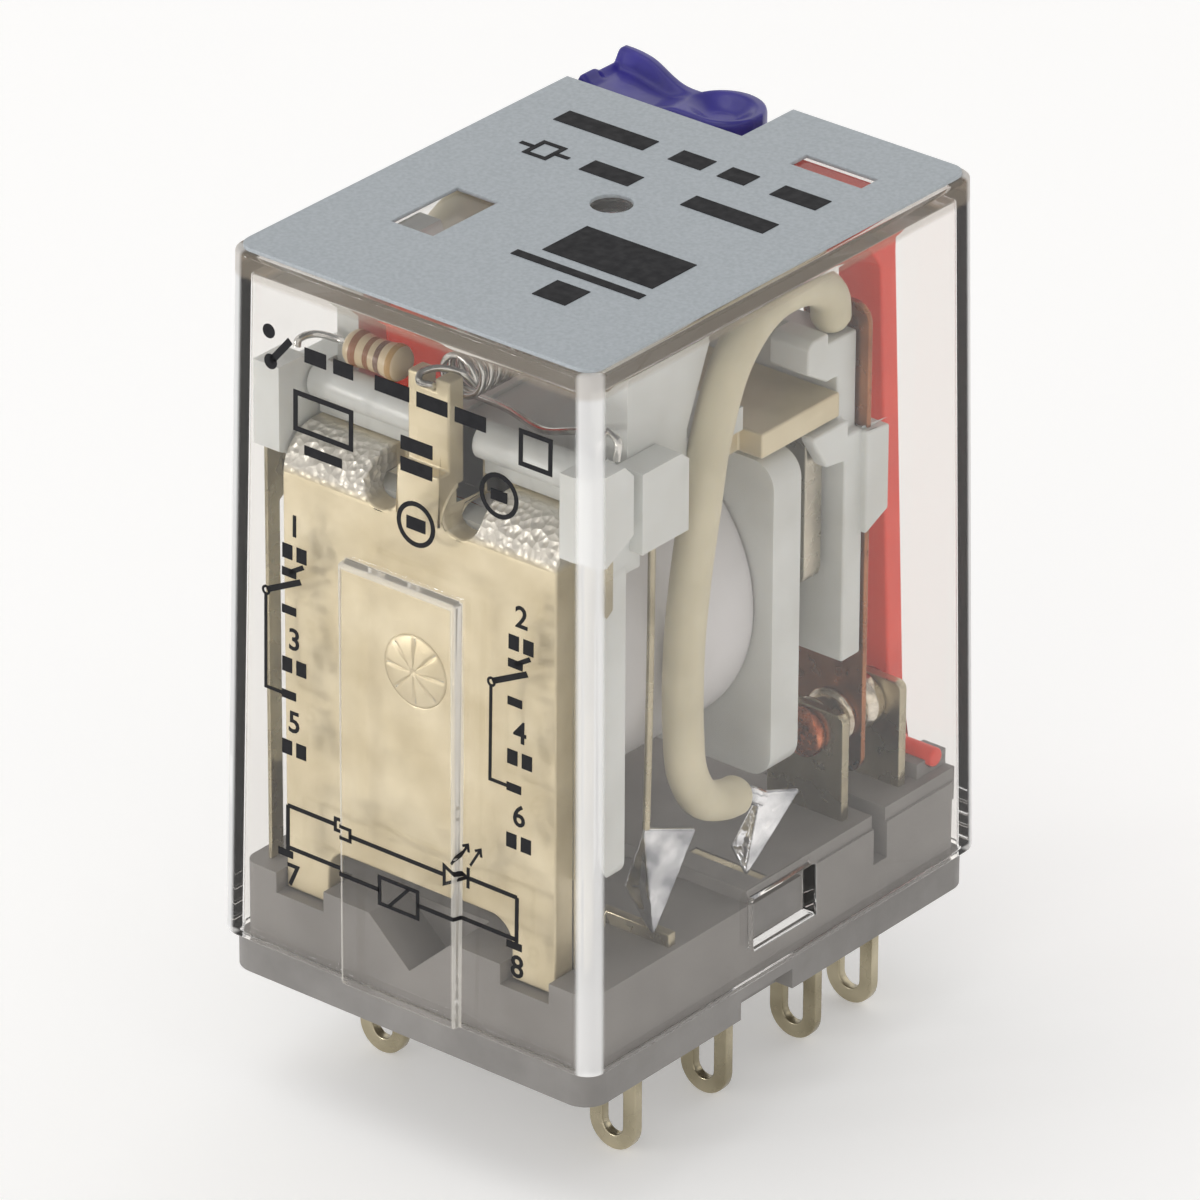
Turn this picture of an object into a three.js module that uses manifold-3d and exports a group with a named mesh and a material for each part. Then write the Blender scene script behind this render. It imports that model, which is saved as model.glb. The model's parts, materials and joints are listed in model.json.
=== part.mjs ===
// A two-pole plug-in control relay with a clear dust cover, as a three.js scene graph.
// Millimetres, +Z up. X is the width (two poles side by side), Y is the length: the coil side is -Y,
// the contact side is +Y. The origin is the centre of the base's seating face, with the lugs below it.
import * as THREE from 'three';
import { mergeVertices } from 'three/addons/utils/BufferGeometryUtils.js';
import Module from 'manifold-3d';

const wasm = await Module();
wasm.setup();

// ---------------------------------------------------------------- driving dimensions
const COVER = {
  width: 21.2, length: 27.5, bottom: 1.75, top: 34.85, draft: 0.55, corner: 1.0, wall: 0.85, roof: 1.1,
};
const BASE = { flange: 1.65, inset: 0.32, corner: 1.2, deck: 5.3, rearDeck: 5.95, rearStart: -2.2 };
const LUG = { x: 6.6, width: 2.6, thick: 0.5, drop: 5.9, holeWidth: 1.15, holeLength: 2.7, shankTop: 5.0 };
const LUG_ROWS = { coil: -7.1, common: -0.75, normally_open: 5.6, normally_closed: 9.7 };
const YOKE = { front: -12.2, thick: 1.2, half: 7.6, top: 26.6, legBottom: 4.4, arch: 7.2, armEnd: 5.8 };
const COIL = { z: 17.7, coreR: 3.2, poleR: 4.8, poleFace: 3.9, barrelR: 3.9, windR: 7.2, tapeR: 7.4 };
const FLANGE = { half: 8.2, bottom: 9.6, top: 24.9, rearBack: 2.9, rearFront: 1.0, frontBack: -9.55 };
const CONTACT = { z: 9.8, radius: 1.35, bladeInner: 4.6, bladeOuter: 8.8, bladeTop: 11.1, shank: 0.6 };
const SPRING = { front: 7.35, thick: 0.3, inner: 4.7, outer: 8.3, bottom: 7.2, top: 30.2, middle: 6.7 };
const FLAG = { pinY: 11.6, pinZ: 6.7, pinR: 0.45, left: 4.85, right: 7.25, headLeft: 2.4, top: 33.6 };
const LEVER = { pinX: -8.7, pinZ: 33.2, pinR: 0.6, bottom: 31.5, top: 35.05 };
const LAMP = { x: -4.85, y: -6.3, r: 1.5, top: 33.0 };
const RESISTOR = { from: -6.4, to: -3.4, y: -9.0, z: 29.9, r: 0.85 };
const LEAD = { r: 0.95, wire: 0.18 };
const SOLDER_EDGE = 0.14;
const STRIP = { x: 8.65, thick: 0.2, front: -11.95, back: -11.15, wideBack: -10.7, shoulder: 22.6, top: 26.2 };
const POCKET = { right: -0.05, front: 9.4, floor: 31.0, wall: 0.75 };
const FIT = 0.05;          // running clearance on each side of a piece that moves or slots in

// ---------------------------------------------------------------- materials
function material(color, roughness, metalness = 0, extra = {}) {
  return new THREE.MeshStandardMaterial({ color, roughness, metalness, ...extra });
}
const GREY_PLASTIC = () => material(0x87857f, 0.55);
const CLEAR_PLASTIC = () => material(0xe6e0dc, 0.08, 0, { transparent: true, opacity: 0.25 });
const LABEL_INK = () => material(0xa3acb4, 0.6);
const WHITE_PLASTIC = () => material(0xcfd3d1, 0.5);
const TINNED_BRASS = () => material(0xbeb496, 0.35, 1);
const ZINC_STEEL = () => material(0xcdbf9b, 0.4, 1);
const COPPER = () => material(0xa36e4a, 0.35, 1);
const SILVER = () => material(0xd8d0c8, 0.3, 1);
const SOLDER = () => material(0xc9ccd0, 0.2, 1);
const CREAM_SLEEVE = () => material(0xd0c8ab, 0.55);
const RED_PLASTIC = () => material(0xd04a28, 0.4);
const BLUE_PLASTIC = () => material(0x342b90, 0.4);

// ---------------------------------------------------------------- solids
function solid(geometry) {
  const bare = geometry.clone();
  bare.deleteAttribute('normal');
  if (bare.attributes.uv) bare.deleteAttribute('uv');
  const merged = mergeVertices(bare, 1e-5);
  return new wasm.Manifold(new wasm.Mesh({
    numProp: 3,
    vertProperties: new Float32Array(merged.attributes.position.array),
    triVerts: new Uint32Array(merged.index.array),
  }));
}
function geometryOf(manifold) {
  const mesh = manifold.getMesh();
  const geometry = new THREE.BufferGeometry();
  geometry.setAttribute('position', new THREE.BufferAttribute(new Float32Array(mesh.vertProperties), 3));
  geometry.setIndex(new THREE.BufferAttribute(new Uint32Array(mesh.triVerts), 1));
  geometry.computeVertexNormals();
  return geometry;
}
function box(x0, x1, y0, y1, z0, z1) {
  const geometry = new THREE.BoxGeometry(x1 - x0, y1 - y0, z1 - z0);
  return solid(geometry.translate((x0 + x1) / 2, (y0 + y1) / 2, (z0 + z1) / 2));
}
// An outline drawn in two row axes and pushed along the third: 'x' draws in (y, z), 'y' in (x, z), 'z' in (x, y).
function push(shape, axis, from, to, curveSegments = 6) {
  const geometry = new THREE.ExtrudeGeometry(shape, { depth: to - from, bevelEnabled: false, curveSegments });
  if (axis === 'x') {
    geometry.applyMatrix4(new THREE.Matrix4().makeBasis(
      new THREE.Vector3(0, 1, 0), new THREE.Vector3(0, 0, 1), new THREE.Vector3(1, 0, 0)));
    return solid(geometry.translate(from, 0, 0));
  }
  if (axis === 'y') {
    geometry.rotateX(Math.PI / 2);
    return solid(geometry.translate(0, to, 0));
  }
  return solid(geometry.translate(0, 0, from));
}
function outline(points) {
  return new THREE.Shape(points.map(([a, b]) => new THREE.Vector2(a, b)));
}
// A rectangle with round corners, in any two axes.
function roundedRect(a0, a1, b0, b1, r) {
  const shape = new THREE.Shape();
  shape.moveTo(a0 + r, b0);
  shape.lineTo(a1 - r, b0);
  shape.absarc(a1 - r, b0 + r, r, -Math.PI / 2, 0);
  shape.lineTo(a1, b1 - r);
  shape.absarc(a1 - r, b1 - r, r, 0, Math.PI / 2);
  shape.lineTo(a0 + r, b1);
  shape.absarc(a0 + r, b1 - r, r, Math.PI / 2, Math.PI);
  shape.lineTo(a0, b0 + r);
  shape.absarc(a0 + r, b0 + r, r, Math.PI, Math.PI * 1.5);
  return shape;
}
function cylinder(axis, radius, from, to, a, b, segments = 24, radiusTo = radius) {
  const geometry = new THREE.CylinderGeometry(radiusTo, radius, to - from, segments);
  const middle = (from + to) / 2;
  if (axis === 'x') return solid(geometry.rotateZ(-Math.PI / 2).translate(middle, a, b));
  if (axis === 'y') return solid(geometry.translate(a, middle, b));
  return solid(geometry.rotateX(Math.PI / 2).translate(a, b, middle));
}
// A profile of [radius, distance along Y] turned about the line x = a, z = b.
function turned(profile, a, b, segments = 20) {
  const geometry = new THREE.LatheGeometry(profile.map(([r, h]) => new THREE.Vector2(r, h)), segments);
  return solid(geometry.translate(a, 0, b));
}
function tube(points, radius, sides, steps) {
  const path = new THREE.CatmullRomCurve3(points.map(([x, y, z]) => new THREE.Vector3(x, y, z)), false, 'centripetal');
  const corners = Array.from({ length: sides }, (_, i) => (i / sides) * Math.PI * 2);
  const section = outline(corners.map((angle) => [radius * Math.cos(angle), radius * Math.sin(angle)]));
  return solid(new THREE.ExtrudeGeometry(section, { steps, bevelEnabled: false, extrudePath: path }));
}
function union(...solids) {
  return solids.reduce((joined, next) => joined.add(next));
}
// A block that narrows evenly from its bottom to its top, with round vertical corners.
function taperedBlock(bottom, top, cornerSteps = 8) {
  const ring = ({ halfX, halfY, r, z }) => {
    const points = [];
    const corners = [[1, 1, 0], [-1, 1, 90], [-1, -1, 180], [1, -1, 270]];
    for (const [sx, sy, start] of corners) {
      for (let i = 0; i <= cornerSteps; i += 1) {
        const angle = THREE.MathUtils.degToRad(start + (90 * i) / cornerSteps);
        points.push([sx * (halfX - r) + r * Math.cos(angle), sy * (halfY - r) + r * Math.sin(angle), z]);
      }
    }
    return points;
  };
  const lower = ring(bottom);
  const upper = ring(top);
  const count = lower.length;
  const positions = [...lower, ...upper].flat();
  const index = [];
  for (let i = 0; i < count; i += 1) {
    const j = (i + 1) % count;
    index.push(i, j, count + j, i, count + j, count + i);
  }
  for (let i = 1; i < count - 1; i += 1) {
    index.push(0, i + 1, i);
    index.push(count, count + i, count + i + 1);
  }
  const geometry = new THREE.BufferGeometry();
  geometry.setAttribute('position', new THREE.Float32BufferAttribute(positions, 3));
  geometry.setIndex(index);
  return solid(geometry);
}

const relay = new THREE.Group();
function add(name, manifold, finish) {
  const mesh = new THREE.Mesh(geometryOf(manifold), finish);
  mesh.name = name;
  relay.add(mesh);
}
// The two poles are mirror images about the middle plane.
const SIDES = [['left', -1], ['right', 1]];
function spanX(side, inner, outer) {
  return side < 0 ? [-outer, -inner] : [inner, outer];
}

// ---------------------------------------------------------------- cover and label
// Half sizes of the cover's outside at a height, less an inset.
function coverSection(z, inset) {
  const rise = (z - COVER.bottom) / (COVER.top - COVER.bottom);
  const halfX = COVER.width / 2 - COVER.draft * rise - inset;
  const halfY = COVER.length / 2 - COVER.draft * rise - inset;
  return { halfX, halfY, r: Math.max(COVER.corner - inset, 0.35), z };
}
function cover() {
  const roofUnder = COVER.top - COVER.roof;
  let shell = taperedBlock(coverSection(COVER.bottom, 0), coverSection(COVER.top, 0));
  // a plain raised pad down the middle of the coil side
  shell = shell.add(box(-3.25, 3.25, -COVER.length / 2 - 0.3, -12.6, COVER.bottom, 22.4));
  shell = shell.subtract(taperedBlock(
    coverSection(COVER.bottom - 1, COVER.wall), coverSection(roofUnder, COVER.wall)));
  // the recess for the test lever keeps its own floor and walls
  const recess = box(-12, POCKET.right, POCKET.front, 15, POCKET.floor, 36);
  const recessWalls = box(-12, POCKET.right + POCKET.wall, POCKET.front - POCKET.wall, 15, POCKET.floor - POCKET.wall, 34.5)
    .intersect(taperedBlock(coverSection(COVER.bottom, 0.2), coverSection(COVER.top, 0.2)));
  shell = shell.add(recessWalls).subtract(recess);
  shell = shell.subtract(box(-9.45, -4.3, 9.85, 11.15, POCKET.floor - 2, POCKET.floor + 1));
  shell = shell.subtract(cylinder('y', LEVER.pinR + FIT, POCKET.front - 0.55, POCKET.front + 1, LEVER.pinX, LEVER.pinZ));
  // windows for the latches of the base, one in each long side
  for (const [, side] of SIDES) {
    const [x0, x1] = spanX(side, 9, 12);
    shell = shell.subtract(box(x0, x1, -2.45, 1.85, 3.3, 5.8));
  }
  // a round gate mark in the roof
  return shell.subtract(cylinder('z', 0.95, COVER.top - 0.6, COVER.top + 1, 0.05, 0.36, 20));
}
function topLabel() {
  const { halfX, halfY } = coverSection(COVER.top, 0.3);
  let foil = push(roundedRect(-halfX, halfX, -halfY, halfY, 0.8), 'z', COVER.top, COVER.top + 0.2, 3);
  foil = foil.subtract(box(-12, POCKET.right + 0.1, POCKET.front - 0.1, 15, 34, 36));
  foil = foil.subtract(box(-6.1, -3.75, -7.0, -2.6, 34, 36));
  foil = foil.subtract(box(3.4, 7.35, 8.4, 9.6, 34, 36));
  return foil.subtract(cylinder('z', 0.95, 34, 36, 0.05, 0.36, 20));
}
add('cover', cover(), CLEAR_PLASTIC());
add('top_label', topLabel(), LABEL_INK());

// ---------------------------------------------------------------- base and terminals
function base() {
  const half = { x: COVER.width / 2 - BASE.inset, y: COVER.length / 2 - BASE.inset };
  const foot = push(roundedRect(-half.x, half.x, -half.y, half.y, BASE.corner), 'z', 0, BASE.flange, 5);
  const inside = coverSection(COVER.bottom, COVER.wall + 0.12);
  const block = push(roundedRect(-inside.halfX, inside.halfX, -inside.halfY, inside.halfY, 0.7), 'z', 1.0, BASE.deck, 3);
  const rear = box(-9.5, 9.5, BASE.rearStart, 12.6, BASE.deck - 1, BASE.rearDeck);
  let body = union(foot, block, rear);
  // snap lugs that fill the windows of the cover
  for (const [, side] of SIDES) {
    const [x0, x1] = spanX(side, 9.0, 10.0);
    body = body.add(box(x0, x1, -2.1, 1.5, 3.5, 5.2));
  }
  // bearing ears for the flag's pin, standing on the rear deck
  const [earFrom, earTo] = [7.75, 9.0];
  body = body.add(box(earFrom, earTo, FLAG.pinY - 1.1, 12.6, BASE.rearDeck - 1, FLAG.pinZ));
  body = body.add(box(3.0, 4.3, FLAG.pinY - 1.1, 12.6, BASE.rearDeck - 1, FLAG.pinZ + 1.3));
  body = body.subtract(cylinder('x', FLAG.pinR + FIT, 2.0, 12, FLAG.pinY, FLAG.pinZ));
  body = body.subtract(box(2.0, 12, FLAG.pinY - FLAG.pinR * 0.75, FLAG.pinY + FLAG.pinR * 0.75, FLAG.pinZ, 12));
  body = body.subtract(box(4.3, earFrom, 10.2, 14, FLAG.pinZ - 1.25, 12));
  // a gap in the flange of each long side
  for (const [, side] of SIDES) {
    const [gapFrom, gapTo] = spanX(side, 9.35, 12);
    body = body.subtract(box(gapFrom, gapTo, -3.0, 0.6, -1, 1.0));
  }
  // pockets for the yoke's legs and a notch between them
  for (const [, side] of SIDES) {
    const [x0, x1] = spanX(side, 5.0, YOKE.half + 0.1);
    body = body.subtract(box(x0, x1, -14, -10.6, 4.3, 8));
  }
  body = body.subtract(push(outline([[-2.6, 5.6], [0, 3.2], [2.6, 5.6], [2.6, 8], [-2.6, 8]]), 'y', -14, -10.2));
  // a slot across the rear deck between the two fixed contacts
  for (const [, side] of SIDES) {
    const [x0, x1] = spanX(side, 3.4, 12);
    body = body.subtract(box(x0, x1, 6.65, 7.6, 3.5, 8));
  }
  // slots for the shanks of the eight terminals
  for (const y of Object.values(LUG_ROWS)) {
    for (const [, side] of SIDES) {
      const [x0, x1] = spanX(side, LUG.x - LUG.width / 2, LUG.x + LUG.width / 2);
      body = body.subtract(box(x0, x1, y - LUG.thick / 2, y + LUG.thick / 2, -1, 9));
    }
  }
  for (const y of [LUG_ROWS.normally_open, LUG_ROWS.normally_closed]) {
    for (const [, side] of SIDES) {
      const [x0, x1] = spanX(side, CONTACT.bladeInner, CONTACT.bladeOuter);
      body = body.subtract(box(x0, x1, y - LUG.thick / 2, y + LUG.thick / 2, LUG.shankTop, 9));
    }
  }
  for (const y of [LUG_ROWS.coil, LUG_ROWS.common]) {
    for (const [, side] of SIDES) {
      const [x0, x1] = spanX(side, LUG.x - LUG.width / 2, 9.3);
      body = body.subtract(box(x0, x1, y - LUG.thick / 2, y + LUG.thick / 2, LUG.shankTop - 0.6, 9));
    }
  }
  return body;
}
add('base', base(), GREY_PLASTIC());

// A solder lug: a flat shank with a round end and an oval hole below the base.
function lug(side, y) {
  const [x0, x1] = spanX(side, LUG.x - LUG.width / 2, LUG.x + LUG.width / 2);
  const middle = (x0 + x1) / 2;
  const r = LUG.width / 2;
  const shape = new THREE.Shape();
  shape.moveTo(x0, LUG.shankTop);
  shape.lineTo(x0, -LUG.drop + r);
  shape.absarc(middle, -LUG.drop + r, r, Math.PI, Math.PI * 2);
  shape.lineTo(x1, LUG.shankTop);
  const hole = new THREE.Path();
  const h = LUG.holeWidth / 2;
  const low = -LUG.drop + r;
  hole.absarc(middle, low + LUG.holeLength - LUG.holeWidth, h, 0, Math.PI);
  hole.absarc(middle, low, h, Math.PI, Math.PI * 2);
  shape.holes.push(hole);
  return push(shape, 'y', y - LUG.thick / 2, y + LUG.thick / 2, 8);
}
// The fixed contacts stand on the same blade as their lug.
function fixedTerminal(side, y) {
  const [x0, x1] = spanX(side, CONTACT.bladeInner, CONTACT.bladeOuter);
  const blade = push(roundedRect(x0, x1, LUG.shankTop, CONTACT.bladeTop, 0.4), 'y', y - 0.25, y + 0.25, 3);
  return lug(side, y).add(blade).subtract(
    cylinder('y', CONTACT.shank + 0.02, y - 1, y + 1, side * SPRING.middle, CONTACT.z, 16));
}
function wiredTerminal(side, y) {
  const [x0, x1] = spanX(side, LUG.x - LUG.width / 2, 9.3);
  return lug(side, y).add(box(x0, x1, y - 0.25, y + 0.25, LUG.shankTop - 0.6, 5.9));
}
for (const [name, side] of SIDES) {
  add(`coil_terminal_${name}`, wiredTerminal(side, LUG_ROWS.coil), TINNED_BRASS());
  add(`common_terminal_${name}`, wiredTerminal(side, LUG_ROWS.common), TINNED_BRASS());
  add(`open_terminal_${name}`, fixedTerminal(side, LUG_ROWS.normally_open), TINNED_BRASS());
  add(`closed_terminal_${name}`, fixedTerminal(side, LUG_ROWS.normally_closed), TINNED_BRASS());
}

// ---------------------------------------------------------------- contacts
// A rivet head with a domed rim, its flat back on a blade at `from`, pointing along `direction`.
function rivet(side, from, height, direction, radius = CONTACT.radius) {
  const to = from + direction * height;
  const rim = from + direction * height * 0.6;
  const profile = [[0, from], [radius, from], [radius, rim], [radius * 0.8, to], [0, to]];
  return turned(direction > 0 ? profile : profile.reverse(), side * SPRING.middle, CONTACT.z);
}
const OPEN_FACE = LUG_ROWS.normally_open + LUG.thick / 2;
const CLOSED_FACE = LUG_ROWS.normally_closed - LUG.thick / 2;
const SPRING_BACK = SPRING.front + SPRING.thick;
// The head faces the moving contact, the shank passes the blade and the tail is spread on the far side.
function fixedContact(side, face, height, direction) {
  const back = face - direction * LUG.thick;
  const [from, to] = [Math.min(face, back) - 0.1, Math.max(face, back) + 0.1];
  const shank = cylinder('y', CONTACT.shank, from, to, side * SPRING.middle, CONTACT.z, 16);
  return union(rivet(side, face, height, direction), shank, rivet(side, back, 0.5, -direction, 1.2));
}
for (const [name, side] of SIDES) {
  add(`open_contact_${name}`, fixedContact(side, OPEN_FACE, 0.4, 1), SILVER());
  add(`closed_contact_${name}`, fixedContact(side, CLOSED_FACE, 1.0, -1), SILVER());
}

// ---------------------------------------------------------------- magnet: yoke, core, bobbin, coil
function yoke() {
  const y0 = YOKE.front;
  const y1 = YOKE.front + YOKE.thick;
  const bend = 2.0;
  // the bent profile, seen from the side
  const profile = new THREE.Shape();
  profile.moveTo(y0, YOKE.legBottom);
  profile.lineTo(y1, YOKE.legBottom);
  profile.lineTo(y1, YOKE.top - bend);
  profile.absarc(y0 + bend, YOKE.top - bend, bend - YOKE.thick, Math.PI, Math.PI / 2, true);
  profile.lineTo(YOKE.armEnd, YOKE.top - YOKE.thick);
  profile.lineTo(YOKE.armEnd, YOKE.top);
  profile.lineTo(y0 + bend, YOKE.top);
  profile.absarc(y0 + bend, YOKE.top - bend, bend, Math.PI / 2, Math.PI);
  profile.lineTo(y0, YOKE.legBottom);
  let plate = push(profile, 'x', -8.0, 8.0, 6);
  // narrower everywhere but at the shoulders of the arm
  for (const [, side] of SIDES) {
    const [a0, a1] = spanX(side, YOKE.half, 10);
    plate = plate.subtract(box(a0, a1, -14, 0.4, 0, 30));
    const [b0, b1] = spanX(side, 6.7, 10);
    plate = plate.subtract(box(b0, b1, -8.4, 0.4, 24, 30));
  }
  // arch between the two legs
  plate = plate.subtract(push(roundedRect(-5.15, 5.15, 0, YOKE.arch, 1.2), 'y', -14, -10, 5));
  // tongue in the middle of the bend, with a round-bottomed notch on each side
  for (const [, side] of SIDES) {
    const [c0, c1] = spanX(side, 1.2, 3.2);
    const notch = roundedRect(c0, c1, 24.7, 30, 0.95);
    plate = plate.subtract(push(notch, 'y', -14, -9.2, 5));
  }
  plate = plate.subtract(box(-1.2, 1.2, y1, -9.2, 24.9, 30));
  plate = plate.add(box(-1.15, 1.15, y0, y1, 23, 27.2)).add(box(-1.15, 1.15, y0, y0 + 1.7, 26.4, 27.2));
  plate = plate.add(box(-1.15, 1.15, y0 + 0.7, y0 + 1.7, 26.4, 31.4));
  plate = plate.subtract(box(-0.35, 0.35, -14, -10, 30.8, 32));
  return plate.subtract(cylinder('y', 1.65 + 0.02, -14, -10, 0, COIL.z, 24));
}
function core() {
  const shaft = cylinder('y', COIL.coreR, YOKE.front + YOKE.thick, COIL.poleFace - 0.7, 0, COIL.z, 24);
  const pole = cylinder('y', COIL.poleR, FLANGE.rearBack + 0.1, COIL.poleFace, 0, COIL.z, 28);
  const rivetEnd = cylinder('y', 1.65, YOKE.front, YOKE.front + YOKE.thick + 0.5, 0, COIL.z, 24);
  return union(shaft, pole, rivetEnd);
}
const FRONT_FLANGE = YOKE.front + YOKE.thick + 0.1;
function bobbin() {
  const barrel = cylinder('y', COIL.barrelR, FRONT_FLANGE, FLANGE.rearBack, 0, COIL.z, 28);
  const rear = push(
    roundedRect(-FLANGE.half, FLANGE.half, FLANGE.bottom, FLANGE.top, 1.2), 'y', FLANGE.rearFront, FLANGE.rearBack, 4);
  const front = push(
    roundedRect(-8.6, 8.6, 9.5, FLANGE.top, 0.8), 'y', FRONT_FLANGE, FLANGE.frontBack, 4);
  let body = union(barrel, rear, front);
  for (const [, side] of SIDES) {
    // ears beside the yoke: the front one holds the strip, the rear one the end of the winding
    const [x0, x1] = spanX(side, 7.75, 9.2);
    body = body.add(push(outline([[-12.2, 25.6], [-11.6, 25.3], [-9.8, 26.2], [-9.8, 29.0], [-10.4, 29.6], [-12.2, 29.6]]),
      'x', x0, x1));
    body = body.add(push(outline([[-9.2, 25.0], [-6.1, 25.0], [-6.1, 28.4], [-6.6, 28.8], [-9.2, 28.8]]), 'x', x0, x1));
    const [webFrom, webTo] = spanX(side, 7.75, 8.5);
    body = body.add(box(webFrom, webTo, FRONT_FLANGE, -8.5, 24.0, 28.0));
    const [slitFrom, slitTo] = spanX(side, STRIP.x - FIT, STRIP.x + STRIP.thick + FIT);
    body = body.subtract(box(slitFrom, slitTo, STRIP.front - FIT, STRIP.wideBack + FIT, 20, STRIP.top + FIT));
  }
  return body.subtract(cylinder('y', COIL.coreR + 0.02, -14, 6, 0, COIL.z, 24));
}
function ring(outer, inner, y0, y1) {
  return cylinder('y', outer, y0, y1, 0, COIL.z, 40).subtract(cylinder('y', inner, y0 - 1, y1 + 1, 0, COIL.z, 40));
}
add('yoke', yoke(), ZINC_STEEL());
add('core', core(), ZINC_STEEL());
add('bobbin', bobbin(), WHITE_PLASTIC());
add('winding', ring(COIL.windR, COIL.barrelR + 0.1, FLANGE.frontBack + 0.05, FLANGE.rearFront - 0.05), COPPER());
add('coil_tape', ring(COIL.tapeR, COIL.windR + 0.03, FLANGE.frontBack + 0.1, FLANGE.rearFront - 0.1), WHITE_PLASTIC());

// ---------------------------------------------------------------- lamp carrier above the yoke arm
const SHELF = YOKE.top + 0.05;
function lampCarrier() {
  const floor = box(-7.1, 7.1, -9.1, 0.2, SHELF, SHELF + 1.1);
  const roundBar = (x0, x1) => cylinder('x', 0.85, x0, x1, -9.7, SHELF + 1.6, 16);
  let body = floor;
  body = body.add(roundBar(-7.6, -1.6)).add(roundBar(1.6, 7.6));
  body = body.add(box(-7.6, -1.6, -9.7, -8.9, SHELF, SHELF + 1.6)).add(box(1.6, 7.6, -9.7, -8.9, SHELF, SHELF + 1.6));
  // a tall barrier wall on each side, with its rear edge rounded
  for (const [, side] of SIDES) {
    const [x0, x1] = spanX(side, 6.5, 7.7);
    body = body.add(push(outline([[-8.4, SHELF], [-4.4, SHELF], [-4.4, 28.6], [-2.9, 32.2], [-3.2, 33.0], [-8.4, 33.0]]),
      'x', x0, x1));
  }
  // a clear channel for the return spring
  body = body.subtract(box(-1.5, 1.5, -12, 1, SHELF + 0.9, 34));
  // a seat for the lamp, and a groove for the resistor
  body = body.subtract(cylinder('z', LAMP.r + 0.1, SHELF + 0.6, 40, LAMP.x, LAMP.y, 24));
  return body;
}
add('lamp_carrier', lampCarrier(), WHITE_PLASTIC());
function lamp() {
  const tube = cylinder('z', LAMP.r, SHELF + 0.65, LAMP.top - LAMP.r, LAMP.x, LAMP.y, 20);
  const dome = new THREE.SphereGeometry(LAMP.r, 20, 12).rotateX(Math.PI / 2);
  return tube.add(solid(dome.translate(LAMP.x, LAMP.y, LAMP.top - LAMP.r)));
}
add('indicator_lamp', lamp(), RED_PLASTIC());
add('series_resistor', cylinder('x', RESISTOR.r, RESISTOR.from, RESISTOR.to, RESISTOR.y, RESISTOR.z, 16), CREAM_SLEEVE());

// ---------------------------------------------------------------- wiring that stays still
function riserStrip(side) {
  const [x0, x1] = spanX(side, STRIP.x, STRIP.x + STRIP.thick);
  const edge = outline([
    [STRIP.front, BASE.deck], [STRIP.back, BASE.deck], [STRIP.back, STRIP.shoulder],
    [STRIP.wideBack, STRIP.shoulder + 0.3], [STRIP.wideBack, STRIP.top], [STRIP.front, STRIP.top]]);
  return push(edge, 'x', x0, x1);
}
// A solder joint: a sharp leaf of metal that fills the corner between a tab and the wire that ends there.
function solderJoint(side, corners) {
  const drop = new THREE.SphereGeometry(SOLDER_EDGE, 8, 6);
  return wasm.Manifold.hull(corners.map(([x, y, z]) => solid(drop.clone().translate(side * x, y, z))));
}
const COIL_JOINT = [[8.7, -8.2, 11.2], [9.3, -5.8, 10.4], [8.7, -7.7, 6.1], [7.4, -7.9, 7.9], [7.3, -6.4, 9.0]];
const COMMON_JOINT = [[8.5, 0.0, 9.5], [9.25, 1.45, 9.3], [8.6, -1.1, 6.15], [7.6, -0.75, 6.9], [7.6, 0.6, 8.0]];
function coilLead(side) {
  const x = side * 8.7;
  return tube([[x, -8.2, 11.55], [x, -8.1, 15], [x, -8.0, 20], [x, -7.95, 24.9]], LEAD.wire, 5, 8);
}
for (const [name, side] of SIDES) {
  add(`riser_strip_${name}`, riserStrip(side), TINNED_BRASS());
  add(`coil_lead_${name}`, coilLead(side), SILVER());
  add(`coil_solder_${name}`, solderJoint(side, COIL_JOINT), SOLDER());
  add(`common_solder_${name}`, solderJoint(side, COMMON_JOINT), SOLDER());
}
add('resistor_lead', tube([
  [RESISTOR.from - 0.05, RESISTOR.y, RESISTOR.z], [-7.2, -8.9, RESISTOR.z], [-8.2, -9.3, RESISTOR.z + 0.1],
  [-8.5, -10, RESISTOR.z], [-8.5, -10.1, 29.65]], LEAD.wire, 5, 10), SILVER());
add('lamp_lead', tube([
  [LAMP.x + LAMP.r + 0.05, LAMP.y - 0.4, 28.2], [0, -6.6, 28.1], [3, -7.7, 28.4], [5.8, -9.0, 29.7],
  [7.6, -9.6, 30.5], [8.5, -10.0, 30.4], [8.5, -10.1, 29.65]], LEAD.wire, 5, 16), SILVER());

// ---------------------------------------------------------------- armature, carrier, moving springs
const PLATE = { half: 7.3, lowerHalf: 6.0, shoulder: 17.5, front: 4.35, back: 5.55, bottom: 13.5, top: 24.9 };
function armature() {
  const upper = push(roundedRect(-PLATE.half, PLATE.half, PLATE.shoulder, PLATE.top, 0.5), 'y', PLATE.front, PLATE.back, 3);
  const lower = roundedRect(-PLATE.lowerHalf, PLATE.lowerHalf, PLATE.bottom, PLATE.shoulder + 2, 0.6);
  return upper.add(push(lower, 'y', PLATE.front, PLATE.back, 3));
}
add('armature', armature(), ZINC_STEEL());

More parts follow.
